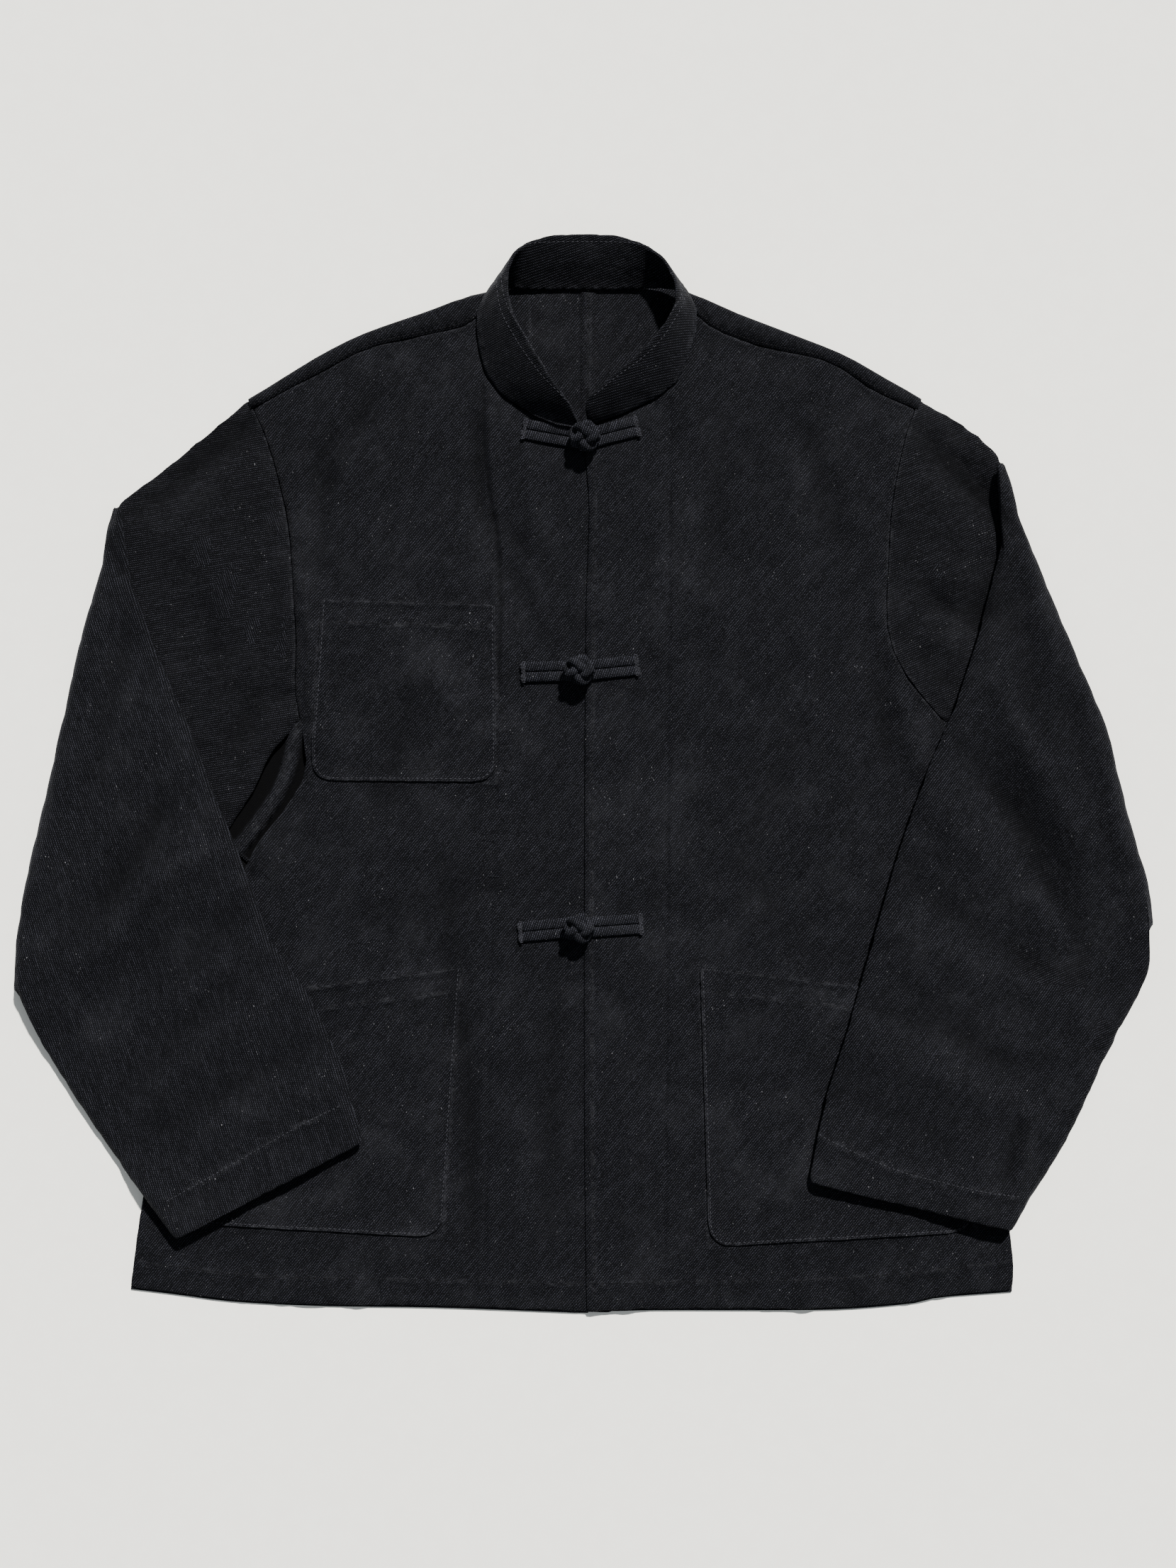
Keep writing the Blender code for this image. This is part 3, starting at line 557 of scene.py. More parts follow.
def fine_copy(node, longest, rounds):
    """A merged copy of a CAD node, with its long edges halved in rounds."""
    bm = bmesh.new()
    bm.from_mesh(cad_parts[node].data)
    bmesh.ops.remove_doubles(bm, verts=bm.verts, dist=WELD)
    for _ in range(rounds):
        long_edges = [edge for edge in bm.edges if edge.calc_length() > longest]
        if long_edges:
            bmesh.ops.subdivide_edges(bm, edges=long_edges, cuts=1)
        bmesh.ops.triangulate(bm, faces=[face for face in bm.faces if len(face.verts) > 3])
    return bm


def refine_near(bm, tree, reach, longest, rounds=2):
    """Halve the long edges that lie close to stitched lines, on the faces turned upward."""
    for _ in range(rounds):
        bm.normal_update()
        chosen = []
        for edge in bm.edges:
            if min(vert.normal.z for vert in edge.verts) > -0.3 and edge.calc_length() > longest:
                middle = (edge.verts[0].co + edge.verts[1].co) / 2
                if tree.find((middle.x, middle.y, 0))[2] < reach:
                    chosen.append(edge)
        if chosen:
            bmesh.ops.subdivide_edges(bm, edges=chosen, cuts=1)
            bmesh.ops.triangulate(bm, faces=[face for face in bm.faces if len(face.verts) > 3])


# Half width of a sewn groove, half width of the painted shade along a pressed line, and how far puckers
# reach from a seam
GROOVE = 1.5 * MM
PRESSED_WIDTH = 1.7 * MM
PUCKER_REACH = 9 * MM


def draw_seams(bm, tree, depth=0.75, pucker=0.5):
    """Sink the stitched lines into the cloth and gather it into small puckers beside them."""
    for vert in bm.verts:
        x, y = vert.co.x, vert.co.y
        away = tree.find((x, y, 0))[2]
        if away > 2 * PUCKER_REACH:
            continue
        sink = depth * MM * math.exp(-(away / GROOVE) ** 2)
        swell = math.exp(-((away - 3.6 * MM) / (2.6 * MM)) ** 2)
        gather = rumple(x, y, 6.5 * MM, 31.0) + 0.6 * rumple(x, y, 13 * MM, 37.0)
        vert.co.z += swell * (0.35 + 0.9 * gather) * pucker * MM - sink


def soften(bm, rounds, keep=()):
    """Even out the facets, leaving the rims of the cloth where they are."""
    held = set(keep)
    for edge in bm.edges:
        if len(edge.link_faces) == 2 and edge.calc_face_angle(0) > math.radians(38):
            held.update(edge.verts)
    loose = [vert for vert in bm.verts if vert not in held]
    for _ in range(rounds):
        bmesh.ops.smooth_vert(bm, verts=loose, factor=0.5, use_axis_x=True, use_axis_y=True,
                              use_axis_z=True)


def near_lines(lines):
    """A search tree of places along stitched lines and edges."""
    places = [point for line in lines for point in line]
    tree = KDTree(len(places))
    for k, point in enumerate(places):
        tree.insert((point.x, point.y, 0), k)
    tree.balance()
    return tree


def crease_lines(creases):
    """A search tree of places along the troughs and ridges of a table."""
    lines = []
    for x1, y1, x2, y2, _, _ in creases:
        start = Vector((x1, y1)) * MM
        end = Vector((x2, y2)) * MM
        lines.append([start.lerp(end, k / 24) for k in range(25)])
    return near_lines(lines)


def paint_crease_shade(bm, creases, lines, deepest=1.6 * MM):
    """Write the painted shade of creases: 1 in a full trough or on a pressed line, 0 on open cloth."""
    layer = bm.verts.layers.float.new("trough")
    for vert in bm.verts:
        x, y = vert.co.x, vert.co.y
        depth = -crease_height(creases, x / MM, y / MM) / deepest
        pressed = math.exp(-(lines.find((x, y, 0))[2] / PRESSED_WIDTH) ** 2) if lines else 0
        vert[layer] = min(max(depth, pressed, 0), 1)


def mark_seams(bm, tree, reach):
    """Write how near each point is to a seam: 1 on it, 0 beyond its reach."""
    layer = bm.verts.layers.float.new("seam")
    for vert in bm.verts:
        _, _, away = tree.find((vert.co.x, vert.co.y, 0))
        vert[layer] = 1 - smooth(away / reach)


def finish_piece(bm, name, materials, replaced=(), subdivide=1):
    """Turn a bmesh into a finished piece that rides on the jacket's one body."""
    if subdivide:
        bmesh.ops.join_triangles(bm, faces=bm.faces, angle_face_threshold=math.radians(25),
                                 angle_shape_threshold=math.radians(70))
    mesh = bpy.data.meshes.new(name)
    bm.to_mesh(mesh)
    bm.free()
    mesh.shade_smooth()
    for material in materials:
        mesh.materials.append(material)
    thing = bpy.data.objects.new(name, mesh)
    bpy.context.scene.collection.objects.link(thing)
    if subdivide:
        finer = thing.modifiers.new("finer", "SUBSURF")
        finer.levels = subdivide
        finer.render_levels = subdivide
    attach(thing, "root")
    if replaced:
        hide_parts(*replaced)
    return thing


def body_crease(x, y):
    """How far the creased body cloth stands above or below the plain solid, in metres."""
    crease = CREASE_GAIN * crease_height(BODY_CREASES, x / MM, y / MM)
    small = 2.4 * MM * rumple(0.75 * x, y, 42 * MM, 3.0) + 0.9 * MM * rumple(x, y, 19 * MM, 8.0)
    hem = smooth((y + 330 * MM) / (-30 * MM))
    ripple = 0.55 * MM * hem * math.sin(x / (3.9 * MM) + 2.4 * rumple(x, y, 60 * MM, 5.0))
    return crease + small + ripple


RIGHT_SIDE = ((-199, 37), (-195, 3), (-211, -27), (-237, -64), (-266, -154), (-291, -229),
              (-309, -292), (-319, -362))
LEFT_SIDE = ((252, 38), (260, -4), (273, -104), (288, -229), (300, -319), (303, -349), (302, -364))
HEM_LEVEL = -374


def room_below(x, y):
    """Share of a crease that may sink: none at the body's side and lower edges, all of it inside them."""
    table = RIGHT_SIDE if x < 0 else LEFT_SIDE
    if y > table[0][1]:
        edge = abs(table[0][0]) + (y - table[0][1])
    else:
        edge = abs(table[-1][0])
        for (x1, y1), (x2, y2) in zip(table, table[1:]):
            if y2 <= y <= y1:
                edge = abs(x1 + (x2 - x1) * (y1 - y) / (y1 - y2))
                break
    return smooth((edge - abs(x) - 4) / 34) * smooth((y - HEM_LEVEL - 4) / 40)


def crease_body(bm):
    """Lift or lower the body cloth, and what is sewn on it, by the same creases."""
    for vert in bm.verts:
        rise = body_crease(vert.co.x, vert.co.y)
        if rise < 0:
            rise *= room_below(vert.co.x / MM, vert.co.y / MM)
        vert.co.z += rise


def pocket_outline(name):
    """The four corners of a patch pocket as a closed line of close places."""
    corners = [Vector(corner) * MM for corner in POCKETS[name]]
    line = []
    for p, q in zip(corners, corners[1:] + corners[:1]):
        steps = round((q - p).length / (2 * MM))
        line += [p.lerp(q, k / steps) for k in range(steps)]
    return line


def body_seams():
    """Every stitched line and edge on the body, for the puckers and the rubbed cloth beside them."""
    lines = [curve(table) for table in (
        RIGHT_ARMHOLE, LEFT_ARMHOLE, RIGHT_SHOULDER, LEFT_SHOULDER, RIGHT_HEM_LINE, LEFT_HEM_LINE,
        LEFT_EDGE_LINE)]
    return lines + [pocket_outline(name) for name in POCKETS]


def top_band(name):
    """The stitched line below a pocket's upper edge."""
    left, right, low_right, low_left = (Vector(corner) * MM for corner in POCKETS[name])
    down = POCKET_BAND * MM
    start = left + (low_left - left).normalized() * down
    end = right + (low_right - right).normalized() * down
    return start, end


# Felled seams that show on the back, columns x and y in mm
CENTRE_SEAM = ((3.5, 236), (3.5, 290), (3.5, 340))
UNDERARM_SEAM = ((-201, 33), (-203.5, 22), (-207, 6), (-215, -14), (-226, -31), (-238, -47), (-250, -62))
SLEEVE_PIT = ((-200, 36), (-221, -14), (-243, -54))


def open_pit(bm):
    """Draw the sleeve's lower edge up from the felled seam, so that the fold under the arm gapes."""
    edge = near_lines([curve(SLEEVE_PIT)])
    for vert in bm.verts:
        x, y, z = vert.co / MM
        away = edge.find((vert.co.x, vert.co.y, 0))[2]
        lengthwise = smooth((42 - y) / 40) * smooth((y + 96) / 40)
        share = (1 - smooth(away / (34 * MM))) * lengthwise * smooth((9.2 - z) / 1.2)
        vert.co.x -= 8.5 * MM * share
        vert.co.y += 5.5 * MM * share
        vert.co.z += 1.2 * MM * share * smooth(z / 4)


def tuck_under(bm):
    """Carry the back's free edges a little way under the collar and the sleeve, where no light may show."""
    for vert in bm.verts:
        x, y, z = vert.co / MM
        if y > 328 and abs(x - 3) < 90 and z < 2:
            vert.co.y += 3 * MM * smooth((y - 328) / 8)
        if -75 < y < 36 and x < -190 and z < 2:
            reach = smooth((y + 75) / 20) * smooth((36 - y) / 20)
            vert.co.x -= 17 * MM * reach
            vert.co.y += 6 * MM * reach
        if math.hypot(x - 252, y - 36) < 16:
            vert.co.x += 5 * MM
            vert.co.y += 2 * MM
        if abs(x) > 224 and y > 250:
            vert.co.x += math.copysign(1.8 * MM, x)
            vert.co.y -= 0.6 * MM


def paint_underarm_shade(bm, tree):
    """Write the painted shade of the fold under the arm: 0 on the felled seam, 1 beside it."""
    layer = bm.verts.layers.float.new("painted_underarm_shade")
    for vert in bm.verts:
        x, y, z = vert.co / MM
        away = tree.find((vert.co.x, vert.co.y, 0))[2]
        near_arm = smooth((-180 - x) / 8) * smooth((y + 74) / 8) * smooth((38 - y) / 6)
        vert[layer] = near_arm * smooth((away - 4.2 * MM) / (1.4 * MM))


def fell_seam(bm, tree, half_width, height):
    """Raise a flat-topped ridge of doubled cloth along a seam."""
    for vert in bm.verts:
        away = tree.find((vert.co.x, vert.co.y, 0))[2]
        vert.co.z += height * (1 - smooth((away - half_width) / (1.6 * MM)))


class JACKET_OT_backs(bpy.types.Operator):
    """Two back panels of twill, wrapped over the shoulders."""

    bl_idname = "jacket.backs"
    bl_label = "Back panels"

    def execute(self, context):
        body = twill_material("back twill", 40, 0.95, painted_underarm_shade=True)
        for name, flat, area in (("back_right", (0.33, 0.74), 0.205), ("back_left", (0.31, 0.74), 0.200)):
            bm = fine_copy(name, 24 * MM, 2)
            tuck_under(bm)
            seams = near_lines([curve(CENTRE_SEAM), curve(UNDERARM_SEAM)])
            refine_near(bm, seams, 40 * MM, 9 * MM, 3)
            refine_near(bm, seams, 14 * MM, 2.6 * MM, 3)
            fell_seam(bm, near_lines([curve(CENTRE_SEAM)]), 4.2 * MM, 1.1 * MM)
            fell_seam(bm, near_lines([curve(UNDERARM_SEAM)]), 4.4 * MM, 4.2 * MM)
            mark_seams(bm, seams, 7 * MM)
            paint_underarm_shade(bm, near_lines([curve(UNDERARM_SEAM)]))
            thing = finish_piece(bm, f"{name}_cloth", [body], (name,), 0)
        return {"FINISHED"}


class JACKET_OT_fronts(bpy.types.Operator):
    """Two creased front panels, the left one over the right one."""

    bl_idname = "jacket.fronts"
    bl_label = "Front panels"

    def execute(self, context):
        body = twill_material("front twill", 40)
        seams = near_lines(body_seams())
        facings = near_lines([curve(RIGHT_FACING), curve(LEFT_FACING)])
        # Lines along which the cloth is painted dark as shade: the pressed line and the wearer's right
        # armhole
        pressed = near_lines([curve(PRESSED_LINE), curve(RIGHT_ARMHOLE)])
        creases = crease_lines(BODY_CREASES)
        for name, flat, area in (("front_right", (0.345, 0.705), 0.200),
                                 ("front_left", (0.305, 0.705), 0.195)):
            bm = fine_copy(name, 12 * MM, 3)
            soften(bm, 4)
            refine_near(bm, seams, 6 * MM, 4.4 * MM)
            refine_near(bm, facings, 6 * MM, 3 * MM, 3)
            refine_near(bm, creases, 12 * MM, 6 * MM, 1)
            crease_body(bm)
            draw_seams(bm, seams)
            draw_seams(bm, facings, 1.5, 0.3)
            mark_seams(bm, seams, 5 * MM)
            paint_crease_shade(bm, BODY_CREASES, pressed)
            thing = finish_piece(bm, f"{name}_cloth", [body], (name,))
        return {"FINISHED"}


class JACKET_OT_pockets(bpy.types.Operator):
    """Three patch pockets that follow the creases of the fronts."""

    bl_idname = "jacket.pockets"
    bl_label = "Patch pockets"

    def execute(self, context):
        cloth = twill_material("pocket twill", 40, 1.0, 1.3)
        for name, under in (("chest_pocket", "front_right_cloth"),
                            ("hip_pocket_right", "front_right_cloth"),
                            ("hip_pocket_left", "front_left_cloth")):
            bm = fine_copy(name, 8 * MM, 3)
            soften(bm, 2)
            start, end = top_band(name)
            band = [start.lerp(end, k / 60) for k in range(61)]
            seams = near_lines([pocket_outline(name), band])
            refine_near(bm, seams, 7 * MM, 4.0 * MM)
            crease_body(bm)
            draw_seams(bm, near_lines([band]), 1.0, 0.7)
            draw_seams(bm, near_lines([curve_through(pocket_lines(name)[1])]), 0.55, 0.4)
            mark_seams(bm, seams, 5 * MM)
            paint_crease_shade(bm, BODY_CREASES, None)
            thing = finish_piece(bm, f"{name}_cloth", [cloth], (name,))
        return {"FINISHED"}


def uppermost(bm):
    """For each point, 1 where it belongs to the sheet of cloth that shows from above, else 0."""
    tree = BVHTree.FromBMesh(bm)
    up = Vector((0, 0, 1))
    step = Vector((0, 0, 0.06 * MM))
    shares = []
    for vert in bm.verts:
        hit, _, _, away = tree.ray_cast(vert.co + step, up)
        if hit is None:
            shares.append(1.0)
        elif away < 2.4 * MM and tree.ray_cast(hit + step, up)[0] is None:
            shares.append(1.0)
        else:
            shares.append(0.0)
    return shares


def spread(bm, values, rounds):
    """Even out one number for each point along the mesh."""
    bm.verts.index_update()
    near = [[edge.other_vert(vert).index for edge in vert.link_edges] for vert in bm.verts]
    for _ in range(rounds):
        values = [0.5 * value + 0.5 * sum(values[k] for k in around) / len(around)
                  for value, around in zip(values, near)]
    return values


# Above this level a sleeve's cloth belongs to the stretch that is folded over
FOLDED_LEVEL = 8.8 * MM
# Beyond this distance from the middle lies the elbow
ELBOW_START = 370 * MM
# No trough of a sleeve sinks below this level
TROUGH_FLOOR = 0.9 * MM


class JACKET_OT_sleeves(bpy.types.Operator):
    """Two sleeves folded over the body, each one flattened tube."""

    bl_idname = "jacket.sleeves"
    bl_label = "Sleeves"

    def execute(self, context):
        turned = {"sleeve_right": (80, -18), "sleeve_left": (66, 38)}
        lines = {"sleeve_right": (RIGHT_ARMHOLE, RIGHT_CUFF_LINE),
                 "sleeve_left": (LEFT_ARMHOLE, LEFT_CUFF_LINE)}
        creases = crease_lines(SLEEVE_CREASES)
        for name, (upper_grain, folded_grain) in turned.items():
            bm = fine_copy(name, 11.5 * MM, 3)
            seams = near_lines([curve(table) for table in lines[name]])
            mouth = near_lines([curve(lines[name][0])])
            soften(bm, 4, [vert for vert in bm.verts if mouth.find((vert.co.x, vert.co.y, 0))[2] < 5 * MM])
            soften(bm, 10, [vert for vert in bm.verts if abs(vert.co.x) < ELBOW_START])
            refine_near(bm, seams, 7 * MM, 4 * MM)
            refine_near(bm, creases, 9 * MM, 7 * MM, 1)
            if name == "sleeve_right":
                open_pit(bm)
            shares = uppermost(bm)
            rises = []
            for vert, share in zip(bm.verts, shares):
                x, y = vert.co.x, vert.co.y
                rise = CREASE_GAIN * crease_height(SLEEVE_CREASES, x / MM, y / MM)
                rise += 2.0 * MM * rumple(x, y, 52 * MM, 12.0) + 0.8 * MM * rumple(x, y, 21 * MM, 15.0)
                rises.append(rise * share)
            for vert, rise in zip(bm.verts, spread(bm, rises, 3)):
                vert.co.z = max(vert.co.z + rise, min(vert.co.z, TROUGH_FLOOR))
            draw_seams(bm, near_lines([curve(lines[name][1])]))
            mark_seams(bm, seams, 6 * MM)
            paint_crease_shade(bm, SLEEVE_CREASES, None, 2.9 * MM)
            for face in bm.faces:
                face.material_index = int(face.calc_center_median().z > FOLDED_LEVEL)
            cloths = [twill_material(f"{name} upper twill", upper_grain, 0.8),
                      twill_material(f"{name} folded twill", folded_grain)]
            thing = finish_piece(bm, f"{name}_cloth", cloths, (name,))
        return {"FINISHED"}


class JACKET_OT_collar(bpy.types.Operator):
    """The stand collar."""

    bl_idname = "jacket.collar"
    bl_label = "Stand collar"

    def execute(self, context):
        bm = fine_copy("collar", 6 * MM, 2)
        soften(bm, 2)
        for vert in bm.verts:
            drawn = max(vert.co.z - COLLAR_FOOT, 0) / context.scene.jacket_stage.height
            vert.co.y -= (vert.co.y - PHOTO_CENTRE[1]) * drawn * COLLAR_DRAW
            vert.co.x -= (vert.co.x - PHOTO_CENTRE[0]) * drawn * COLLAR_SQUEEZE
            closing = smooth((COLLAR_ENDS - vert.co.y) / COLLAR_ENDS_LENGTH)
            vert.co.x += (COLLAR_RIGHT_PULL if vert.co.x < 0.5 * MM else COLLAR_LEFT_PULL) * closing
            x, y = vert.co.x, vert.co.y
            lift = 0.5 * MM * rumple(x, y, 26 * MM, 21.0) + 0.25 * MM * rumple(x, y, 11 * MM, 23.0)
            vert.co += Vector((x, y - 0.31, 0)).normalized() * lift
        mark_seams(bm, near_lines([curve(table) for table in (COLLAR_BASE, COLLAR_RIM)]), 8 * MM)
        thing = finish_piece(bm, "collar_cloth", [twill_material("collar twill", 72, 0.95, 1.1)],
                             ("collar",))
        return {"FINISHED"}


# The collar leans in by these shares of the camera's parallax, along Y and X, above its foot
COLLAR_DRAW = 1.3
COLLAR_SQUEEZE = 3.0
COLLAR_FOOT = 6 * MM
# Its two ends are drawn together below this place, over this length, by these amounts
COLLAR_ENDS = 276 * MM
COLLAR_ENDS_LENGTH = 30 * MM
COLLAR_RIGHT_PULL = 3.5 * MM
COLLAR_LEFT_PULL = -5.0 * MM

# Foot and rim of the collar, columns x and y in mm, with a row of each for one place round the neck
COLLAR_BASE = ((-6, 245), (-21, 247.5), (-40, 254), (-57, 266), (-68, 282), (-72.5, 298), (-74, 312),
               (-73.5, 325), (-67, 337), (-52, 340.5), (-28, 340), (0, 340), (28, 340), (54, 340.5),
               (72, 338), (78.5, 326), (78, 312), (73, 295), (66, 277), (53, 265), (33, 254.5),
               (8, 246))
COLLAR_RIM = ((-12, 261), (-17, 270), (-25, 282), (-34, 297), (-42, 310), (-51, 325), (-55, 342),
              (-54, 356), (-48, 368), (-39, 374), (-24, 378.7), (0, 379.7), (25, 378.7), (43, 373),
              (56, 364), (66, 348), (67, 333), (60, 320), (48, 305), (34, 292), (19, 280), (4, 264))


TREES = {}


def shape_tree(name):
    """The search tree of a finished piece, made once."""
    if name not in TREES:
        finished = bpy.data.objects[name].evaluated_get(bpy.context.evaluated_depsgraph_get())
        mesh = finished.to_mesh()
        TREES[name] = BVHTree.FromPolygons([vert.co[:] for vert in mesh.vertices],
                                           [face.vertices[:] for face in mesh.polygons])
        finished.to_mesh_clear()
    return TREES[name]


def surface_finder(names):
    """A function that gives the highest place and its normal on some pieces, straight below x and y."""
    trees = [shape_tree(name) for name in names]
    down = Vector((0, 0, -1))

    def find(x, y):
        best = None
        for tree in trees:
            hit, normal, _, _ = tree.ray_cast(Vector((x, y, 0.2)), down)
            if hit is not None and (best is None or hit.z > best[0].z):
                best = (hit, normal if normal.z > 0 else -normal)
        return best

    return find


def add_stitch(bm, place, normal, run, sewing):
    """One stitch: a short flattened bead of thread."""
    across = normal.cross(run).normalized()
    along = across.cross(normal).normalized()
    axes = Matrix((along, across, normal)).transposed().to_4x4()
    size = Matrix.Diagonal((sewing.length / 2, sewing.thread / 2, sewing.thread * 0.4, 1))
    where = Matrix.Translation(place + normal * sewing.thread * 0.15)
    bmesh.ops.create_icosphere(bm, subdivisions=1, radius=1, matrix=where @ axes @ size)


def sew_line(bm, line, find, sewing):
    """Stitches at even spacing along a line, laid on the cloth below it."""
    room = sewing.pitch / 2
    for p, q in zip(line, line[1:]):
        gap = (q - p).length
        walked = 0.0
        while gap - walked > room:
            walked += room
            room = sewing.pitch
            place = p.lerp(q, walked / gap)
            found = find(place.x, place.y)
            if found:
                add_stitch(bm, found[0], found[1], (q - p).to_3d().normalized(), sewing)
        room -= gap - walked


def curve_through(points):
    """Close places along a line of far ones."""
    line = []
    for p, q in zip(points, points[1:]):
        steps = max(1, round((q - p).length / (2 * MM)))
        line += [p.lerp(q, k / steps) for k in range(steps)]
    return line + [points[-1]]


def pocket_lines(name):
    """Two rows down and round a patch pocket, and one below its top band."""
    tl, tr, br, bl = (Vector(corner) * MM for corner in POCKETS[name])
    middle = (tl + tr + br + bl) / 4
    rows = []
    for inset in POCKET_ROWS:
        def drawn(corner, neighbour_a, neighbour_b):
            a = (neighbour_a - corner).normalized()
            b = (neighbour_b - corner).normalized()
            return corner + (a + b) * inset * MM / max(0.2, math.sqrt(1 - a.dot(b) ** 2))
        top_left = tl + (tr - tl).normalized() * inset * MM
        top_right = tr + (tl - tr).normalized() * inset * MM
        low_right = drawn(br, tr, bl)
        low_left = drawn(bl, br, tl)
        radius = (POCKET_CORNER - inset * 0.8) * MM
        line = [top_right]
        for before, here, after in ((top_right, low_right, low_left), (low_right, low_left, top_left)):
            first = here + (before - here).normalized() * radius
            last = here + (after - here).normalized() * radius
            line += [first.lerp(here, t).lerp(here.lerp(last, t), t) for t in (0, 0.25, 0.5, 0.75, 1)]
        line.append(top_left)
        rows.append(line)
    start, end = top_band(name)
    rows.append([start, end])
    return rows


# Distances of the two rows beside a felled seam, then the places of the rows down the back's
# middle and the stretch that they are sewn along, in mm
NEAR_ROW = 2.2 * MM
FAR_ROW = 8.2 * MM
CENTRE_ROWS = (-1.2, 8.2)
CENTRE_SPAN = (250, 336)

# Rows sewn in thread that has kept its black
DARK_ROWS = ("stitches_front_edge", "stitches_inner_pocket", "stitches_centre_back", "stitches_shoulders",
             "stitches_pocket_insides", "stitches_right_front", "stitches_left_front", "stitches_armholes")

# Pocket inside the left front, seen from outside by its stitches alone: left, right, top, bottom
# and corner radius in mm
INNER_POCKET = (71, 187, 123, 4, 12)


def inner_pocket_lines():
    """The line of stitches down, along and up the pocket that hangs inside the left front."""
    left, right, top, low, corner = (value * MM for value in INNER_POCKET)
    line = [Vector((left, top))]
    for sign, x in ((1, left), (-1, right)):
        middle = Vector((x + sign * corner, low + corner))
        for k in range(7):
            angle = math.pi / 2 * k / 6
            if sign > 0:
                line.append(middle + Vector((-math.cos(angle), -math.sin(angle))) * corner)
            else:
                line.append(middle + Vector((math.sin(angle), -math.cos(angle))) * corner)
    line.append(Vector((right, top)))
    return [line]


def bind_ends(bm, find, sewing):
    """Stitches set close together across the outer ends of the fastenings."""
    for row in FROGS:
        for outer, inner in ((row[0:2], row[2:4]), (row[4:6], row[2:4])):
            end = Vector(outer) * MM
            along = (Vector(inner) * MM - end).normalized()
            across = Vector((-along.y, along.x))
            for k in range(15):
                for shift in (0.4, 2.2):
                    place = end + across * (k / 7 - 1) * 7.2 * MM + along * (shift + 0.5 * (k % 2)) * MM
                    found = find(place.x, place.y)
                    if found:
                        add_stitch(bm, found[0], found[1], along.to_3d(), sewing)


class JACKET_OT_stitching(bpy.types.Operator):
    """Rows of stitches along seams, facings, pockets, hem, cuffs and collar."""

    bl_idname = "jacket.stitching"
    bl_label = "Stitching"

    def execute(self, context):
        sewing = context.scene.jacket_sewing
        thread = thread_material("sewing thread", sewing.colour)
        dark = thread_material("black thread", [value * 0.16 for value in sewing.colour])
        body = surface_finder(["front_right_cloth", "front_left_cloth", "back_right_cloth",
                               "back_left_cloth"])
        pockets = [f"{name}_cloth" for name in POCKETS]
        with_pockets = surface_finder(["front_right_cloth", "front_left_cloth"] + pockets)
        sleeves = surface_finder(["sleeve_right_cloth", "sleeve_left_cloth"])
        armholes = []
        for distance in (NEAR_ROW, FAR_ROW):
            armholes.append(shifted(curve(RIGHT_ARMHOLE), distance))
            armholes.append(shifted(curve(LEFT_ARMHOLE), -distance))
        shoulders = [shifted(curve(RIGHT_SHOULDER), -NEAR_ROW), shifted(curve(LEFT_SHOULDER), NEAR_ROW)]
        centre = []
        for x in CENTRE_ROWS:
            centre.append([Vector((x, y)) * MM for y in CENTRE_SPAN])
        inside_rows = [line for name in POCKETS for line in pocket_lines(name)[1:]]
        rows = {
            "stitches_right_front": (body, [curve(RIGHT_HEM_LINE), curve(FACING_HEM_RIGHT)]),
            "stitches_left_front": (body, [curve(LEFT_HEM_LINE), curve(FACING_HEM_LEFT)]),
            "stitches_front_edge": (body, [curve(LEFT_EDGE_LINE)]),
            "stitches_inner_pocket": (body, inner_pocket_lines()),
            "stitches_armholes": (body, armholes),
            "stitches_shoulders": (body, shoulders),
            "stitches_centre_back": (body, centre),
            "stitches_pocket_edges": (with_pockets, [pocket_lines(name)[0] for name in POCKETS]),
            "stitches_pocket_insides": (with_pockets, inside_rows),
            "stitches_cuffs": (sleeves, [curve(RIGHT_CUFF_LINE), curve(LEFT_CUFF_LINE)]),
        }
        for name, (find, lines) in rows.items():
            bm = bmesh.new()
            for line in lines:
                sew_line(bm, line, find, sewing)
            finish_piece(bm, name, [dark if name in DARK_ROWS else thread], (), 0)
        self.sew_collar(context, sewing, thread)
        return {"FINISHED"}

    def sew_collar(self, context, sewing, thread):
        """Two rows below the rim, on the face that shows."""
        tree = shape_tree("collar_cloth")
        bm = bmesh.new()
        for share in (0.08, 0.25):
            places = []
            for (bx, by), (rx, ry) in zip(COLLAR_BASE, COLLAR_RIM):
                places.append((rx + (bx - rx) * share, ry + (by - ry) * share))
            line = curve(places, sewing.pitch)
            for p, q in zip(line, line[1:]):
                hit, normal, _, _ = tree.ray_cast(Vector((p.x, p.y, 0.2)), Vector((0, 0, -1)))
                if hit is not None and normal.z > 0.15:
                    add_stitch(bm, hit, normal, (q - p).to_3d().normalized(), sewing)
        finish_piece(bm, "stitches_collar", [thread], (), 0)


# Knotted fastenings from the neck down, columns: tail start x, y, knot x, y, loop end x, y in mm
FROGS = (
    (-43, 242, 1, 235, 39, 244),
    (-44, 71, -3, 72, 39, 76),
    (-46, -111.5, -3, -108, 42, -105.5),
)
# Radius of a rolled cord, how far it is pressed flat, and radius of the knot's own cord
CORD_RADIUS = 3.7 * MM
CORD_FLATNESS = 0.42
KNOT_CORD = 2.9 * MM
# The knot's one cord goes round the ball in turns and up and down in waves, weaving in and out
KNOT_STEPS = 240
KNOT_TURNS = 3
KNOT_WAVES = 4
KNOT_WEAVE = 1.5 * MM
KNOT_SWING = 1.12


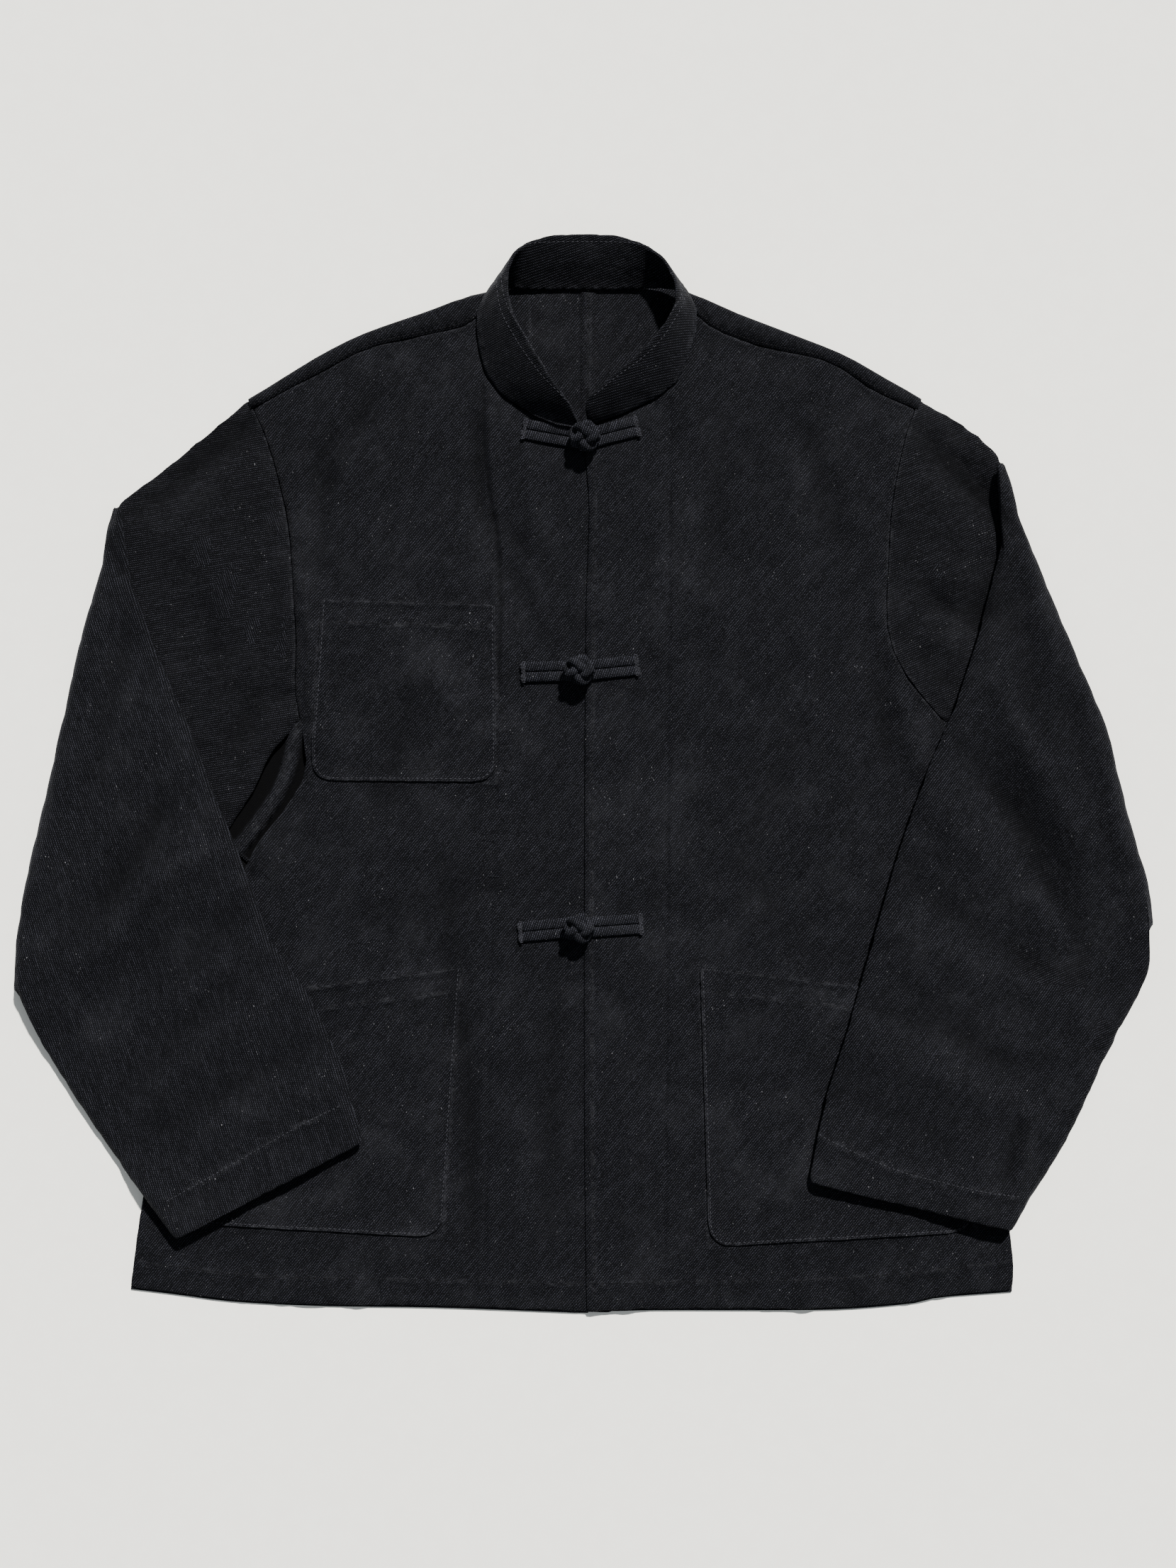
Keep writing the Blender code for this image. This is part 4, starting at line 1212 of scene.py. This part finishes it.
def add_cord(bm, points, radius, closed=False):
    """A round cord along close places, added to a bmesh."""
    line = bpy.data.curves.new("cord route", "CURVE")
    line.dimensions = "3D"
    line.bevel_depth = radius
    line.bevel_resolution = 3
    line.use_fill_caps = not closed
    spline = line.splines.new("POLY")
    spline.points.add(len(points) - 1)
    for item, place in zip(spline.points, points):
        item.co = (*place, 1)
    spline.use_cyclic_u = closed
    helper = bpy.data.objects.new("cord route", line)
    bpy.context.scene.collection.objects.link(helper)
    bpy.context.view_layer.update()
    mesh = bpy.data.meshes.new_from_object(helper.evaluated_get(bpy.context.evaluated_depsgraph_get()))
    bm.from_mesh(mesh)
    bpy.data.objects.remove(helper)
    bpy.data.curves.remove(line)
    bpy.data.meshes.remove(mesh)


def flat_cord_pair(name, outer, inner, find, material):
    """Two rolled cords side by side, bound at the outer end and pressed flat on the cloth."""
    along = (inner - outer).normalized()
    across = Vector((-along.y, along.x))
    bm = bmesh.new()
    for side in (-1, 1):
        offset = across * side * CORD_RADIUS * 0.98
        route = [outer.lerp(inner, k / 16) + offset for k in range(17)]
        add_cord(bm, [Vector((*place, 0)) for place in route], CORD_RADIUS)
    bind = [outer + along * 1.6 * MM + across * CORD_RADIUS * 2.15 * (1 - k / 5) for k in range(11)]
    add_cord(bm, [Vector((*place, 1.9 * MM)) for place in bind], 1.25 * MM)
    bmesh.ops.remove_doubles(bm, verts=bm.verts, dist=0.01 * MM)
    for vert in bm.verts:
        ground = find(vert.co.x, vert.co.y)
        level = ground[0].z if ground else 0.0
        vert.co.z = level + max((vert.co.z + CORD_RADIUS) * CORD_FLATNESS, 0) + 0.2 * MM
    bmesh.ops.recalc_face_normals(bm, faces=bm.faces)
    return finish_piece(bm, f"{name}_cord", [material], (name,), 1)


def ball_knot(name, material):
    """A button knot of one cord that weaves over and under itself round a ball."""
    low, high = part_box(name)
    middle = (low + high) / 2
    wide = (high.x - low.x) / 2 + 1.4 * MM
    tall = (high.z - low.z) / 2
    bm = bmesh.new()
    ball = wide - KNOT_CORD * 0.86
    route = []
    for k in range(KNOT_STEPS):
        turn = 2 * math.pi * k / KNOT_STEPS
        reach = ball - KNOT_WEAVE * math.sin(2 * KNOT_WAVES * turn)
        height = KNOT_SWING * math.sin(KNOT_WAVES * turn)
        round_ball = KNOT_TURNS * turn
        route.append(Vector((math.cos(round_ball) * math.cos(height),
                             math.sin(round_ball) * math.cos(height),
                             math.sin(height))) * reach)
    add_cord(bm, route, KNOT_CORD, closed=True)
    bmesh.ops.scale(bm, verts=bm.verts, vec=(1, 1, tall / wide))
    core = bmesh.ops.create_uvsphere(bm, u_segments=20, v_segments=12, radius=ball * 0.96)["verts"]
    bmesh.ops.scale(bm, verts=core, vec=(1, 1, tall / wide))
    bmesh.ops.rotate(bm, verts=bm.verts, matrix=Matrix.Rotation(math.radians(24), 3, "X"))
    bmesh.ops.translate(bm, verts=bm.verts, vec=middle)
    return finish_piece(bm, f"{name}_cord", [material], (name,), 0)


class JACKET_OT_fastenings(bpy.types.Operator):
    """Three knotted fastenings of rolled cotton cord."""

    bl_idname = "jacket.fastenings"
    bl_label = "Knotted fastenings"

    def execute(self, context):
        # Painted highlight: the cord cloth and its rubbed edges are coloured lighter than the body cloth,
        # standing in for the brighter highlights on the rounded cords and knots
        cloth = twill_material("cord twill", 20, 1.5, 1.6, 0.35)
        find = surface_finder(["front_right_cloth", "front_left_cloth"])
        for number, row in enumerate(FROGS, 1):
            tail, knot, loop = (Vector(row[k:k + 2]) * MM for k in (0, 2, 4))
            flat_cord_pair(f"frog_tail_{number}", tail, knot + Vector((-4 * MM, 0)), find, cloth)
            flat_cord_pair(f"frog_loop_{number}", loop, knot + Vector((4 * MM, 0)), find, cloth)
            ball_knot(f"frog_knot_{number}", cloth)
        cords = [f"frog_{part}_{number}_cord" for part in ("tail", "loop") for number in (1, 2, 3)]
        bm = bmesh.new()
        bind_ends(bm, surface_finder(cords), context.scene.jacket_sewing)
        finish_piece(bm, "stitches_cord_ends", [bpy.data.materials["sewing thread"]], (), 0)
        return {"FINISHED"}


# The way that the hard light travels, and how far the floor reaches from the middle
SUN_TRAVEL = (-0.22, -0.66, -0.72)
FLOOR_REACH = 4.0


class JACKET_OT_stage(bpy.types.Operator):
    """Pale floor, key and fill light, and the camera straight above."""

    bl_idname = "jacket.stage"
    bl_label = "Floor, lights and camera"

    def execute(self, context):
        stage = context.scene.jacket_stage
        bm = bmesh.new()
        bmesh.ops.create_grid(bm, x_segments=1, y_segments=1, size=FLOOR_REACH)
        bmesh.ops.translate(bm, verts=bm.verts, vec=(0, 0, -0.15 * MM))
        mesh = bpy.data.meshes.new("floor")
        bm.to_mesh(mesh)
        bm.free()
        material = bpy.data.materials.new("pale floor")
        material.use_nodes = True
        tree = material.node_tree
        shader = tree.nodes["Principled BSDF"]
        place = tree.nodes.new("ShaderNodeTexCoord").outputs["Object"]
        dapple = noise_node(tree, place, 60.0, 4.0, 0.7)
        light = [min(1.0, value * 1.03) for value in stage.floor]
        tree.links.new(mixed(tree, range_node(tree, dapple, 0.3, 0.7), list(stage.floor), light),
                       shader.inputs["Base Color"])
        shader.inputs["Roughness"].default_value = 0.85
        mesh.materials.append(material)
        floor = bpy.data.objects.new("floor", mesh)
        context.scene.collection.objects.link(floor)
        key = bpy.data.lights.new("key", "SUN")
        key.energy = stage.sun
        key.angle = math.radians(3)
        key.color = (1.0, 0.975, 0.94)
        sun = bpy.data.objects.new("key", key)
        sun.rotation_euler = Vector(SUN_TRAVEL).to_track_quat("-Z", "Y").to_euler()
        context.scene.collection.objects.link(sun)
        world = context.scene.world or bpy.data.worlds.new("studio")
        context.scene.world = world
        world.use_nodes = True
        background = world.node_tree.nodes["Background"]
        background.inputs["Color"].default_value = (0.88, 0.94, 1.0, 1)
        background.inputs["Strength"].default_value = stage.sky
        lens = bpy.data.cameras.new("camera")
        lens.sensor_fit = "HORIZONTAL"
        lens.sensor_width = 36
        lens.lens = 36 * stage.height / (PHOTO_WIDTH * PHOTO_SCALE)
        lens.clip_start = 0.01
        camera = bpy.data.objects.new("camera", lens)
        camera.location = (*PHOTO_CENTRE, stage.height)
        context.scene.collection.objects.link(camera)
        context.scene.camera = camera
        return {"FINISHED"}


class JACKET_PT_panel(bpy.types.Panel):
    """Sizes, colours and steps of the jacket."""

    bl_idname = "JACKET_PT_panel"
    bl_label = "Mandarin Collar Jacket"
    bl_space_type = "VIEW_3D"
    bl_region_type = "UI"
    bl_category = "Jacket"

    def draw(self, context):
        layout = self.layout
        for group in (context.scene.jacket_cloth, context.scene.jacket_sewing, context.scene.jacket_stage):
            for key in group.__annotations__:
                layout.prop(group, key)
        for operator in OPERATORS:
            layout.operator(operator.bl_idname)


GROUP_CLASSES = (JacketCloth, JacketSewing, JacketStage)
OPERATORS = (JACKET_OT_backs, JACKET_OT_fronts, JACKET_OT_pockets, JACKET_OT_sleeves, JACKET_OT_collar,
             JACKET_OT_stitching, JACKET_OT_fastenings, JACKET_OT_stage)


def register():
    """Register the classes and hang the settings on the scene."""
    for item in GROUP_CLASSES + OPERATORS + (JACKET_PT_panel,):
        bpy.utils.register_class(item)
    bpy.types.Scene.jacket_cloth = bpy.props.PointerProperty(type=JacketCloth)
    bpy.types.Scene.jacket_sewing = bpy.props.PointerProperty(type=JacketSewing)
    bpy.types.Scene.jacket_stage = bpy.props.PointerProperty(type=JacketStage)


def unregister():
    """Take the settings and classes away again."""
    del bpy.types.Scene.jacket_stage
    del bpy.types.Scene.jacket_sewing
    del bpy.types.Scene.jacket_cloth
    for item in reversed(GROUP_CLASSES + OPERATORS + (JACKET_PT_panel,)):
        bpy.utils.unregister_class(item)


def main():
    """Register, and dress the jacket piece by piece."""
    register()
    bpy.ops.jacket.backs()
    bpy.ops.jacket.fronts()
    bpy.ops.jacket.pockets()
    bpy.ops.jacket.sleeves()
    bpy.ops.jacket.collar()
    bpy.ops.jacket.stitching()
    bpy.ops.jacket.fastenings()
    bpy.ops.jacket.stage()
    bpy.context.view_layer.update()


if __name__ == "__main__":
    main()
